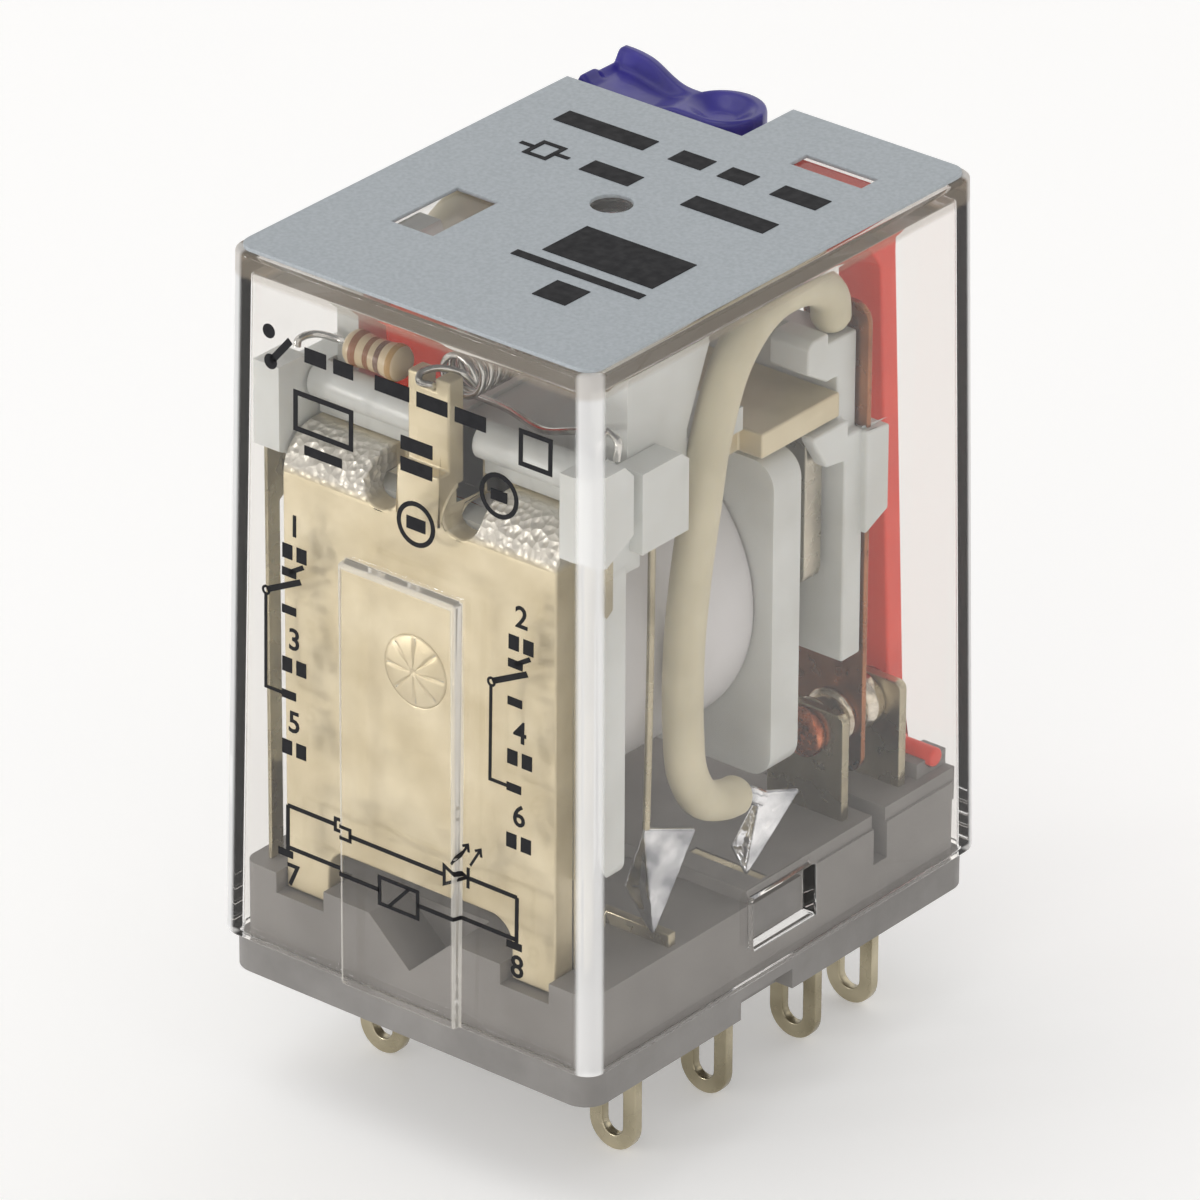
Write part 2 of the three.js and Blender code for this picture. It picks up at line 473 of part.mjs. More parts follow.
const CARRIER = {
  half: 8.2, upperHalf: 7.75, noseHalf: 8.6, front: 5.95, back: 7.25, bottom: 13.4, top: 29.0, noseBack: 8.6,
};
function contactCarrier() {
  let body = box(-CARRIER.half, CARRIER.half, CARRIER.front, CARRIER.back, 15.5, CARRIER.top);
  for (const [, side] of SIDES) {
    const [x0, x1] = spanX(side, 4.2, CARRIER.half);
    // leg beside the armature
    body = body.add(box(x0, x1, CARRIER.front, CARRIER.back, CARRIER.bottom, 16));
    // the upper part is narrower, so the moving spring shows beside it
    const [cutFrom, cutTo] = spanX(side, CARRIER.upperHalf, 12);
    body = body.subtract(box(cutFrom, cutTo, 5, 9, 24.4, 32));
    // jaws that reach over and under the end of the yoke arm
    const upperJaw = outline([[3.85, 28.0], [5.2, 27.2], [6.2, 27.2], [6.2, CARRIER.top], [5.3, CARRIER.top],
      [5.3, 29.5], [4.2, 29.5], [3.85, 29.2]]);
    body = body.add(push(upperJaw, 'x', ...spanX(side, 5.6, CARRIER.upperHalf)));
    const lowerJaw = outline([[4.7, 23.4], [6.2, 23.2], [6.2, 25.15], [3.75, 25.15], [3.75, 24.9]]);
    body = body.add(push(lowerJaw, 'x', ...spanX(side, 7.45, CARRIER.half)));
    // nose around the moving spring
    const nose = outline([[7.0, 19.4], [CARRIER.noseBack, 20.1], [CARRIER.noseBack, 24.2], [7.0, 24.4]]);
    body = body.add(push(nose, 'x', ...spanX(side, 4.0, CARRIER.noseHalf)));
  }
  // finger that holds the indicator flag back, and the post for the return spring
  body = body.add(box(4.9, 7.1, 8.0, 9.85, 20.8, 22.0));
  body = body.add(box(-0.9, 0.9, CARRIER.front, CARRIER.back, 28.5, 31.4));
  body = body.subtract(box(-0.25, 0.25, 4, 9, 30.4, 32));
  for (const [, side] of SIDES) {
    const [x0, x1] = spanX(side, SPRING.inner - 0.1, SPRING.outer + 0.1);
    body = body.subtract(box(x0, x1, SPRING.front - 0.1, SPRING_BACK + 0.1, 10, 35));
  }
  return body;
}
add('contact_carrier', contactCarrier(), WHITE_PLASTIC());

function movingSpring(side) {
  const [x0, x1] = spanX(side, SPRING.inner, SPRING.outer);
  const blade = push(roundedRect(x0, x1, SPRING.bottom, SPRING.top, 0.9), 'y', SPRING.front, SPRING_BACK, 4);
  return blade.subtract(cylinder('y', 0.5, 5, 10, side * SPRING.middle, CONTACT.z, 16));
}
function movingContact(side) {
  const shank = cylinder('y', 0.48, SPRING.front - 0.2, SPRING_BACK + 0.2, side * SPRING.middle, CONTACT.z, 16);
  return union(rivet(side, SPRING.front, 0.45, -1), shank, rivet(side, SPRING_BACK, 0.75, 1));
}
for (const [name, side] of SIDES) {
  add(`moving_spring_${name}`, movingSpring(side), COPPER());
  add(`moving_contact_${name}`, movingContact(side), SILVER());
}

// Sleeved leads: they carry the current from the common terminal, over the magnet, to the moving spring.
function flexibleLead(side) {
  const route = [
    [8.3, -1.35, 10.0], [8.4, -2.6, 10.25], [8.45, -4.1, 11.0], [8.45, -5.1, 12.6], [8.4, -5.35, 14.8],
    [8.4, -5.35, 18.5], [8.4, -5.0, 21.6], [8.3, -4.2, 25.0], [8.2, -3.4, 28.0], [8.05, -1.8, 31.0],
    [7.7, 0.9, 32.4], [7.35, 4.2, 32.1], [7.05, 6.1, 30.8], [6.9, 6.5, 29.35]];
  return tube(route.map(([x, y, z]) => [side * x, y, z]), LEAD.r, 8, 30);
}
for (const [name, side] of SIDES) {
  add(`flexible_lead_${name}`, flexibleLead(side), CREAM_SLEEVE());
}

// ---------------------------------------------------------------- return spring
function returnSpring() {
  const [start, end, turns, radius, z] = [-9.6, 4.4, 12, 0.95, 30.6];
  const points = [[0, -11.75, 30.2], [0, -11.75, 31.0], [0, -11.2, 31.2], [0, -10.3, 31.2]];
  const steps = turns * 9;
  for (let i = 0; i <= steps; i += 1) {
    const angle = (i / steps) * turns * Math.PI * 2 + Math.PI / 2;
    points.push([radius * Math.cos(angle), start + ((end - start) * i) / steps, z + radius * Math.sin(angle)]);
  }
  points.push([0, 5.0, 31.0], [0, 5.5, 30.7], [0, 6.6, 30.75], [0, 7.5, 30.7], [0, 7.6, 30.2]);
  return tube(points, 0.16, 5, turns * 9 + 16);
}
add('return_spring', returnSpring(), SILVER());

// ---------------------------------------------------------------- indicator flag
function indicatorFlag() {
  const side = outline([
    [10.9, 6.1], [12.2, 6.1], [11.65, 10.5], [10.6, 31.0], [10.6, FLAG.top], [8.1, FLAG.top], [8.1, FLAG.top - 0.7],
    [9.5, 31.0], [10.55, 10.5]]);
  const bar = push(side, 'x', FLAG.left, FLAG.right);
  // broad head that shows through the label's window
  const head = box(FLAG.headLeft, FLAG.right, 8.4, 10.6, FLAG.top - 0.7, FLAG.top);
  return union(bar, head, cylinder('x', FLAG.pinR, 3.1, 9.25, FLAG.pinY, FLAG.pinZ, 16));
}
add('indicator_flag', indicatorFlag(), RED_PLASTIC());

// ---------------------------------------------------------------- test lever
function testLever() {
  const shape = new THREE.Shape();
  shape.moveTo(-9.35, 9.55);
  shape.lineTo(-2.5, 9.5);
  shape.absarc(-2.5, 11.35, 1.85, -Math.PI / 2, Math.PI * 0.64);
  shape.lineTo(-5.2, 12.05);
  shape.lineTo(-8.7, 12.85);
  shape.lineTo(-9.35, 12.85);
  let body = push(shape, 'z', LEVER.bottom, LEVER.top, 8);
  body = body.add(cylinder('y', LEVER.pinR, POCKET.front - 0.5, 12, LEVER.pinX, LEVER.pinZ, 20));
  return body.add(box(-9.2, -8.2, 10.0, 11.0, 29.4, 32));
}
add('test_lever', testLever(), BLUE_PLASTIC());

export default relay;
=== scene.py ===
# %% [markdown]
# # A plug-in control relay, finished over its CAD frame
# The relay is a small magnet and two change-over contacts under a clear cover. The CAD model already has
# every piece at its true size, so this lesson keeps each place and gives each piece its real edges and
# finish.

# %% Load the frame
import json
import math
import bpy
import bmesh
from mathutils import Matrix, Vector


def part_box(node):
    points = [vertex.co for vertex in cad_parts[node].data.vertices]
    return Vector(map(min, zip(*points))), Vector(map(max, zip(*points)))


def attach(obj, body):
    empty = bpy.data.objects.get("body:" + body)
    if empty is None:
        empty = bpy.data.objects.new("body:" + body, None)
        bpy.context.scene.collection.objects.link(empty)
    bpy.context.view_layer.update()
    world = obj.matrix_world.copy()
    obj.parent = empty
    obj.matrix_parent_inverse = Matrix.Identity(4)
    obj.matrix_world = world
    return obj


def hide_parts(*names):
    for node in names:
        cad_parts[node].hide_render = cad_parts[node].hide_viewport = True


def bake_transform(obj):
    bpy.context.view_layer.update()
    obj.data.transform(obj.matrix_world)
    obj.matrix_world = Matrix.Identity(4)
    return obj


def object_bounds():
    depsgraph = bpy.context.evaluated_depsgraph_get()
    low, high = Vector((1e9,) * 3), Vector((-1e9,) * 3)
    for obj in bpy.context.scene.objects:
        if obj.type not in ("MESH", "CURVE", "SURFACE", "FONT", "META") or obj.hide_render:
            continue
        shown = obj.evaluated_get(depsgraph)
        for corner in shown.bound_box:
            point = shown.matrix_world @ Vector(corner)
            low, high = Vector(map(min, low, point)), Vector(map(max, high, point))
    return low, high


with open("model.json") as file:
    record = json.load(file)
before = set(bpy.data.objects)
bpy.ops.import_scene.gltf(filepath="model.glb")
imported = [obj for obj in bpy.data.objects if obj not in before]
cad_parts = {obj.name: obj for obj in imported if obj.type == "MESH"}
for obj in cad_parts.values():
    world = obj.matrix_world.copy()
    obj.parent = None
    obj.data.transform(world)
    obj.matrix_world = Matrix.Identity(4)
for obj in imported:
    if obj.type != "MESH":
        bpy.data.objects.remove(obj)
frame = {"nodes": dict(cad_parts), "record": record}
cad_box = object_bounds()
MM = 0.001
BODY_OF = {node: body for body, nodes in frame["record"]["behaviour"]["bodies"].items() for node in nodes}
print("nodes", len(frame["nodes"]), "cad box mm", [[round(c / MM, 2) for c in corner] for corner in cad_box])

# %% [markdown]
# ## Camera
# The camera looks down on the coil side and the right-hand side. A long lens far away keeps the verticals
# nearly parallel, so the box doesn't seem to splay.

# %% Camera
TOWARDS_CAMERA = Vector((0.5606, -0.6906, 0.4570)).normalized()
ACROSS = Vector((0.7764, 0.6302, 0.0)).normalized()
RISE = TOWARDS_CAMERA.cross(ACROSS)
TURNTABLE = Vector((0, 0, 18.75)) * MM
CAMERA_DISTANCE = 441.3 * MM
AIM_RIGHT, AIM_UP = -0.152 * MM, -2.411 * MM
ROLL = math.radians(0.274)
AIM = TURNTABLE + AIM_RIGHT * ACROSS + AIM_UP * RISE
camera_data = bpy.data.cameras.new("camera")
camera = bpy.data.objects.new("camera", camera_data)
bpy.context.scene.collection.objects.link(camera)
camera_data.sensor_width = 36
camera_data.lens = 304.2
camera_data.clip_start = 0.01
eye = TURNTABLE + TOWARDS_CAMERA * CAMERA_DISTANCE
back = (eye - AIM).normalized()
level = Vector((0, 0, 1)).cross(back).normalized()
upright = back.cross(level).normalized()
side = level * math.cos(ROLL) + upright * math.sin(ROLL)
top = upright * math.cos(ROLL) - level * math.sin(ROLL)
camera.matrix_world = Matrix([[side[i], top[i], back[i], eye[i]] for i in range(3)] + [[0, 0, 0, 1]])
bpy.context.scene.camera = camera
print("camera distance mm", round((eye - AIM).length / MM, 1))

# %% [markdown]
# ## Floor and light
# A pale floor under the lugs and two lamps: a soft one overhead, and a smaller one low on the left, whose
# firm shadow shows that the print floats above the yoke. The surround is not even: it has bright and dark
# fields, like the cards round a product table, because bare metal only looks like metal when it mirrors
# some contrast.

# %% Floor, surround and lamps
def linear(red, green, blue):
    """A colour given in the usual 0 to 255 steps, as the linear values that a shader wants."""
    channels = [c / 255 for c in (red, green, blue)]
    return [c / 12.92 if c <= 0.04045 else ((c + 0.055) / 1.055) ** 2.4 for c in channels] + [1.0]


def set_inputs(made, values):
    for name, value in values.items():
        made.inputs[name].default_value = value


def add_node(tree, kind, inputs=None, **settings):
    """Adds a node. Each input is given a plain value, or the socket that feeds it."""
    made = tree.nodes.new(kind)
    for name, value in settings.items():
        setattr(made, name, value)
    for name, value in (inputs or {}).items():
        if isinstance(value, bpy.types.NodeSocket):
            tree.links.new(value, made.inputs[name])
        else:
            set_inputs(made, {name: value})
    return made


surround = bpy.data.worlds.new("surround")
bpy.context.scene.world = surround
surround.use_nodes = True
cards = surround.node_tree
direction = add_node(cards, "ShaderNodeTexCoord").outputs["Generated"]
cloud = add_node(cards, "ShaderNodeTexNoise", {"Scale": 1.7, "Detail": 1.0, "Vector": direction})
levels = add_node(cards, "ShaderNodeValToRGB", {"Fac": cloud.outputs["Fac"]})
levels.color_ramp.elements[0].position = 0.42
levels.color_ramp.elements[0].color = (0.42, 0.425, 0.44, 1)
levels.color_ramp.elements[1].position = 0.56
levels.color_ramp.elements[1].color = (1.15, 1.13, 1.1, 1)
cards.links.new(levels.outputs["Color"], cards.nodes["Background"].inputs["Color"])
bpy.context.scene.view_settings.view_transform = "Standard"

LUG_TIPS = cad_box[0][2]
FLOOR_HALF = 3
floor_corners = [(x * FLOOR_HALF, y * FLOOR_HALF, LUG_TIPS) for x, y in ((-1, -1), (1, -1), (1, 1), (-1, 1))]
floor_mesh = bpy.data.meshes.new("floor")
floor_mesh.from_pydata(floor_corners, [], [(0, 1, 2, 3)])
floor = bpy.data.objects.new("floor", floor_mesh)
bpy.context.scene.collection.objects.link(floor)
paper = bpy.data.materials.new("pale_paper")
paper.use_nodes = True
set_inputs(paper.node_tree.nodes["Principled BSDF"], {
    "Base Color": (0.93, 0.925, 0.915, 1), "Roughness": 0.9,
    "Emission Color": (1, 1, 1, 1), "Emission Strength": 0.22})
floor_mesh.materials.append(paper)

MIDDLE_OF_RELAY = Vector((0, 0, 0.018))


def soft_lamp(name, place, size, watts):
    lamp = bpy.data.objects.new(name, bpy.data.lights.new(name, "AREA"))
    lamp.data.shape = "RECTANGLE"
    lamp.data.size, lamp.data.size_y = size
    lamp.data.energy = watts
    lamp.location = Vector(place)
    lamp.rotation_euler = (MIDDLE_OF_RELAY - lamp.location).to_track_quat("-Z", "Y").to_euler()
    bpy.context.scene.collection.objects.link(lamp)


soft_lamp("overhead", (-0.05, -0.12, 0.42), (0.22, 0.22), 0.2)
soft_lamp("low_left", (-0.3, -0.43, 0.04), (0.06, 0.06), 0.5)
print("floor at mm", round(LUG_TIPS / MM, 2))

# %% [markdown]
# ## How a finish is built
# Every finish starts from one shader and gets its life from noise on Object coordinates: a slow noise for
# the tone, a fine one for the grain. Object coordinates are used because all pieces sit at the world's
# origin, so one scale suits them all: a scale of 1000 is one cloud in a millimetre.

# %% Finish helpers
def workings(material):
    return material.node_tree, material.node_tree.nodes["Principled BSDF"]


def noise(tree, scale, detail=3.0):
    place = add_node(tree, "ShaderNodeTexCoord").outputs["Object"]
    cloud = add_node(tree, "ShaderNodeTexNoise", {"Scale": scale, "Detail": detail, "Vector": place})
    return cloud.outputs["Fac"]


def axes(tree):
    """The three Object coordinates, one socket each."""
    place = add_node(tree, "ShaderNodeTexCoord").outputs["Object"]
    return add_node(tree, "ShaderNodeSeparateXYZ", {"Vector": place}).outputs


def ramp(tree, factor, stops):
    made = add_node(tree, "ShaderNodeValToRGB", {"Fac": factor})
    while len(made.color_ramp.elements) < len(stops):
        made.color_ramp.elements.new(0.5)
    for element, (position, colour) in zip(made.color_ramp.elements, stops):
        element.position = position
        element.color = colour
    return made.outputs["Color"]


def spread(tree, value, start, end, low=0.0, high=1.0, **settings):
    """Maps the span from start to end onto the span from low to high."""
    made = add_node(tree, "ShaderNodeMapRange", {
        "Value": value, "From Min": start, "From Max": end, "To Min": low, "To Max": high}, **settings)
    return made.outputs["Result"]


def combine(tree, operation, *values):
    """A Math node on one or two values, each of them a number or a socket."""
    return add_node(tree, "ShaderNodeMath", dict(enumerate(values)), operation=operation).outputs["Value"]


def bump(tree, shader, height, depth_mm):
    """Adds relief on top of any that the shader already has."""
    made = add_node(tree, "ShaderNodeBump", {"Distance": depth_mm * MM, "Strength": 1.0, "Height": height})
    if shader.inputs["Normal"].is_linked:
        tree.links.new(shader.inputs["Normal"].links[0].from_socket, made.inputs["Normal"])
    tree.links.new(made.outputs["Normal"], shader.inputs["Normal"])


def finish(name, dark, light, rough, metal=0.0, tone=260, grain=4200, depth_mm=0.006, detail=4.0, more=None):
    """A finish whose tone drifts between two colours and whose grain breaks up the highlight."""
    material = bpy.data.materials.new(name)
    material.use_nodes = True
    tree, shader = workings(material)
    set_inputs(shader, {"Metallic": metal, **(more or {})})
    tones = ramp(tree, noise(tree, tone, detail), [(0.32, linear(*dark)), (0.68, linear(*light))])
    tree.links.new(tones, shader.inputs["Base Color"])
    tree.links.new(spread(tree, noise(tree, tone * 2.7), 0.3, 0.7, *rough), shader.inputs["Roughness"])
    bump(tree, shader, noise(tree, grain), depth_mm)
    material.diffuse_color = linear(*light)
    return material


def soft(weight, radius, depth_mm):
    """Lets light travel under the skin, as it does in unfilled plastic."""
    return {"Subsurface Weight": weight, "Subsurface Radius": radius, "Subsurface Scale": depth_mm * MM}


# %% [markdown]
# ## Plastics
# The base is glass-filled nylon, mid grey with a fine matt grain. The bobbin and carriers are natural
# nylon: it lets a little light in, so it gets some subsurface scattering, which reaches furthest in red.
# The flag is acetal in a signal red with a small painted glow, which lifts it out of the shade under the
# label so that it shows up in its window. The lever is a deep blue-violet. Both have a satin gloss. The
# sleeve on the leads is a cream silicone tube.

# %% Plastics
grey_nylon = finish("grey_nylon", (122, 119, 116), (139, 136, 133), (0.42, 0.6), grain=5200, depth_mm=0.008)
white_nylon = finish("white_nylon", (206, 208, 204), (222, 225, 223), (0.32, 0.48), grain=2600,
                     depth_mm=0.004, more=soft(0.25, (0.8, 0.7, 0.6), 0.6))
# the flag's emission is a painted glow that brightens it in the shade under the label
red_acetal = finish("red_acetal", (200, 46, 20), (216, 58, 28), (0.28, 0.42), grain=1800, depth_mm=0.004,
                    more={"Emission Color": linear(225, 60, 30), "Emission Strength": 0.16,
                          **soft(0.15, (1.0, 0.35, 0.2), 0.5)})
blue_acetal = finish("blue_acetal", (34, 28, 112), (50, 42, 140), (0.3, 0.42), tone=420, grain=1500,
                     depth_mm=0.008, more={"Coat Weight": 0.15})
sleeve = finish("cream_sleeve", (203, 195, 168), (219, 211, 184), (0.42, 0.56), tone=420, grain=3600,
                depth_mm=0.005, more=soft(0.2, (0.9, 0.7, 0.45), 0.4))
print("plastics ready")

# %% [markdown]
# ## Metals
# The yoke is zinc plated and passivated to a pale gold, the terminals are tinned brass with darker handling
# marks, and solder is nearly a mirror with a frozen skin. A metal only looks right when its roughness
# changes over the surface, so each one has a slow cloud for that as well as a grain.

# %% Metals
bright_steel = finish("bright_steel", (176, 170, 156), (206, 199, 182), (0.22, 0.36), 1.0, tone=400,
                      grain=2600)
brass = finish("tinned_brass", (150, 141, 118), (202, 192, 166), (0.2, 0.38), 1.0, tone=260, grain=2400,
               detail=3.0)
bronze = finish("spring_bronze", (140, 88, 56), (178, 120, 82), (0.24, 0.38), 1.0, tone=500, grain=3000)
silver = finish("contact_silver", (168, 152, 130), (236, 228, 214), (0.12, 0.28), 1.0, tone=1100, grain=1600,
                depth_mm=0.05)
copper = finish("rivet_copper", (150, 78, 50), (214, 134, 98), (0.18, 0.34), 1.0, tone=1400, grain=1500,
                depth_mm=0.09)
spring_wire = finish("spring_wire", (190, 188, 184), (226, 224, 220), (0.12, 0.24), 1.0, tone=1200,
                     grain=3000)
solder_skin = finish("solder_skin", (150, 152, 158), (246, 247, 250), (0.06, 0.24), 1.0, tone=620, grain=620,
                     depth_mm=0.16, detail=2.0)
enamelled = finish("enamelled_copper", (142, 74, 42), (178, 104, 66), (0.25, 0.4), 0.8, tone=700, grain=3000)
print("metals ready")

# %% [markdown]
# The yoke's bend is crushed in the press, which leaves small bright folds. They are too fine to model one
# by one, so a faceted bump does them, and masks on height and depth keep it beside the tongue at the top
# front edge.

# %% Crushed bend of the yoke
passivated = finish("passivated_steel", (204, 190, 156), (226, 214, 184), (0.34, 0.5), 0.6, tone=330,
                    grain=3000, depth_mm=0.008)
tree, shader = workings(passivated)
across, along, height = axes(tree)
near_top = spread(tree, height, 24.75 * MM, 25.15 * MM)
near_front = spread(tree, along, -9.8 * MM, -10.4 * MM)
beside_tongue = combine(tree, "GREATER_THAN", combine(tree, "ABSOLUTE", across), 1.6 * MM)
crushed = combine(tree, "MULTIPLY", combine(tree, "MULTIPLY", near_top, near_front), beside_tongue)
everywhere = add_node(tree, "ShaderNodeTexCoord").outputs["Object"]
facets = add_node(tree, "ShaderNodeTexVoronoi", {"Scale": 2600, "Vector": everywhere})
bump(tree, shader, combine(tree, "MULTIPLY", crushed, facets.outputs["Distance"]), 0.2)
plated = shader.inputs["Base Color"].links[0].from_socket
worn = add_node(tree, "ShaderNodeMixRGB", {"Color1": plated, "Color2": linear(222, 218, 208), "Fac": crushed})
tree.links.new(worn.outputs["Color"], shader.inputs["Base Color"])
print("bend ready")

# %% [markdown]
# ## Label, ink and tape
# The label is grey-blue foil with a fine sparkle, the ink is a flat near-black, and the tape round the coil
# is a smooth, nearly white film. None of them is a bare metal, so they all stay plain plastics to the
# shader.

# %% Label, ink and tape
foil = finish("label_foil", (164, 171, 176), (177, 184, 189), (0.42, 0.58), tone=5200, grain=5200,
              depth_mm=0.01)
ink = finish("black_ink", (12, 12, 17), (17, 17, 22), (0.5, 0.65), tone=900, grain=5000, depth_mm=0.003,
             more={"Specular IOR Level": 0.25})
tape = finish("coil_tape", (214, 213, 214), (228, 227, 229), (0.4, 0.52), tone=220, grain=1800)
print("label, ink and tape ready")

# %% [markdown]
# ## Clear cover
# The cover is clear plastic with a faint warm tint. A lower refractive index than the real one keeps its
# thin walls from filling with dark reflections. Light has to reach the magnet inside, so for shadow and
# diffuse rays the cover acts as plain transparent plastic. Where walls meet, real plastic is thick and
# catches light: a white column at each corner, a warm band at the roof, a bright outline round the raised
# panel. That light is painted here: masks on Object coordinates mix a little matt colour into the glass at
# those places, as painted highlights and a painted warm band. The walls lean inwards, so the corner mask
# leans with them.

# %% Cover plastic
WALL_LEAN = 0.0166
clear = bpy.data.materials.new("clear_cover")
clear.use_nodes = True
tree, glassy = workings(clear)
set_inputs(glassy, {
    "Base Color": (0.95, 0.938, 0.922, 1), "Roughness": 0.02, "IOR": 1.3, "Transmission Weight": 0.99})


def fade(value, start_mm, end_mm):
    return spread(tree, value, start_mm * MM, end_mm * MM, interpolation_type="SMOOTHSTEP")


def where_all(*masks):
    """A mask that is white only where every one of these masks is."""
    shared = masks[0]
    for mask in masks[1:]:
        shared = combine(tree, "MULTIPLY", shared, mask)
    return shared


# paints light into the glass: a matt colour mixed in under a mask stands in for light gathered in thick
# plastic
def with_painted_light(below, mask, share, colour):
    painted_matt = add_node(tree, "ShaderNodeBsdfDiffuse", {"Color": linear(*colour)})
    amount = combine(tree, "MULTIPLY", mask, share)
    mix = add_node(tree, "ShaderNodeMixShader", {"Fac": amount, 1: below, 2: painted_matt.outputs["BSDF"]})
    return mix.outputs["Shader"]


across, along, height = axes(tree)
sideways = combine(tree, "ABSOLUTE", across)
lengthways = combine(tree, "ABSOLUTE", along)
lean = combine(tree, "MULTIPLY", height, WALL_LEAN)
corner = where_all(fade(combine(tree, "ADD", sideways, lean), 9.65, 9.95),
                   fade(combine(tree, "ADD", lengthways, lean), 12.8, 13.1))
rim = where_all(fade(height, 33.6, 33.9),
                combine(tree, "MAXIMUM", fade(sideways, 9.3, 9.8), fade(lengthways, 12.3, 12.8)))
below_panel_top = fade(height, 22.55, 22.5)
panel_side = where_all(fade(sideways, 3.02, 3.12), fade(sideways, 3.4, 3.35), below_panel_top)
panel_top = where_all(fade(height, 22.1, 22.2), fade(sideways, 3.35, 3.3), below_panel_top)
outline = where_all(combine(tree, "MAXIMUM", panel_side, panel_top), fade(along, -13.45, -13.6))
# seen edge-on, a wall gathers light along its whole length; a painted highlight stands in for it
facing = add_node(tree, "ShaderNodeLayerWeight", {"Blend": 0.15}).outputs["Facing"]
edge_on = spread(tree, facing, 0.4, 0.62)
walls = glassy.outputs["BSDF"]
# painted highlights at the corners, the panel outline and the edge-on walls, and a painted warm band at the
# roof
for mask, share, colour in ((corner, 0.7, (252, 252, 252)), (rim, 0.38, (168, 156, 140)),
                            (outline, 0.5, (222, 218, 210)), (edge_on, 0.75, (226, 222, 216))):
    walls = with_painted_light(walls, mask, share, colour)

passing = add_node(tree, "ShaderNodeBsdfTransparent", {"Color": (0.95, 0.94, 0.93, 1)})
rays = add_node(tree, "ShaderNodeLightPath").outputs
let_through = combine(tree, "MAXIMUM", rays["Is Shadow Ray"], rays["Is Diffuse Ray"])
choose = add_node(tree, "ShaderNodeMixShader", {"Fac": let_through, 1: walls, 2: passing.outputs["BSDF"]})
tree.links.new(choose.outputs["Shader"], tree.nodes["Material Output"].inputs["Surface"])
print("cover material ready")

# %% [markdown]
# ## Turning a CAD solid into a finished piece
# A CAD solid has knife edges, and no moulded or stamped part does. The copy is welded, its flat faces are
# joined, and a small bevel runs along every real edge. Weighted normals then keep the flats flat.

# %% Piece helpers
def new_object(name, mesh, material):
    piece = bpy.data.objects.new(name, mesh)
    bpy.context.scene.collection.objects.link(piece)
    mesh.materials.clear()
    mesh.materials.append(material)
    return piece


def bake(piece):
    """Turns the modifiers into plain mesh."""
    bpy.context.view_layer.update()
    graph = bpy.context.evaluated_depsgraph_get()
    finished = piece.evaluated_get(graph)
    mesh = bpy.data.meshes.new_from_object(finished, preserve_all_data_layers=True, depsgraph=graph)
    piece.modifiers.clear()
    piece.data = mesh
    return piece


def rounded(piece, width_mm, segments=2, angle=32, clamp=False):
    """Bevels every edge that turns by more than the angle, then keeps the flats flat."""
    bevel = piece.modifiers.new("edge", "BEVEL")
    bevel.width = width_mm * MM
    bevel.segments = segments
    bevel.limit_method = "ANGLE"
    bevel.angle_limit = math.radians(angle)
    bevel.use_clamp_overlap = clamp
    bake(piece)
    piece.data.shade_smooth()
    piece.data.set_sharp_from_angle(angle=math.radians(50))
    weighted = piece.modifiers.new("normals", "WEIGHTED_NORMAL")
    weighted.keep_sharp = True
    return bake(piece)


def stand_in(piece, node):
    """The piece takes the place of a CAD node and moves with that node's body."""
    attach(piece, BODY_OF[node])
    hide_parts(node)


WELD = 0.0005 * MM


def welded_copy(node, name, material, flatten=True):
    """A CAD solid's own mesh with its loose triangles joined up."""
    mesh = frame["nodes"][node].data.copy()
    mesh.name = name
    piece = new_object(name, mesh, material)
    shape = bmesh.new()
    shape.from_mesh(mesh)
    bmesh.ops.remove_doubles(shape, verts=shape.verts, dist=WELD)
    if flatten:
        bmesh.ops.dissolve_limit(shape, angle_limit=math.radians(0.6), verts=shape.verts, edges=shape.edges)
    shape.to_mesh(mesh)
    shape.free()
    return piece


def edged(node, name, material, width_mm=0.1, segments=2, crowded=False):
    """Crowded pieces keep their triangles and let close edges limit the bevel, so that no face folds over."""
    piece = rounded(welded_copy(node, name, material, flatten=not crowded), width_mm, segments, clamp=crowded)
    stand_in(piece, node)
    print(name, len(piece.data.polygons), "faces")
    return piece


# %% [markdown]
# ## Base, bobbin and carriers
# These are injection mouldings. Their edges have a radius of about a tenth of a millimetre, enough to catch
# a thin line of light. A bevel on the CAD shape gives that. The base, the bobbin and the lamp carrier have
# ribs and pockets closer together than two bevels, so those three keep their triangles and let the bevel
# shrink there.

# %% Mouldings
edged("base", "base_moulding", grey_nylon, 0.12, 2, crowded=True)
edged("bobbin", "bobbin_moulding", white_nylon, 0.12, 3, crowded=True)
edged("lamp_carrier", "lamp_carrier_moulding", white_nylon, 0.12, 3, crowded=True)
edged("contact_carrier", "contact_carrier_moulding", white_nylon, 0.12, 3)
edged("indicator_flag", "flag_moulding", red_acetal, 0.12, 3)

# %% [markdown]
# ## Magnet
# The yoke, armature and core are pressed and turned steel. The end of the core is peened over the yoke with
# a punch that leaves eight rays, so its face is a disc of rings and spokes whose height follows that
# pattern.

# %% Yoke, armature and core
edged("yoke", "yoke_plate", passivated, 0.12, 3)
edged("armature", "armature_plate", bright_steel, 0.1)
COIL_AXIS = 17.7
PEEN_RISE, PEEN_GROOVE, PEEN_SUNK = 0.16, 0.13, 0.3


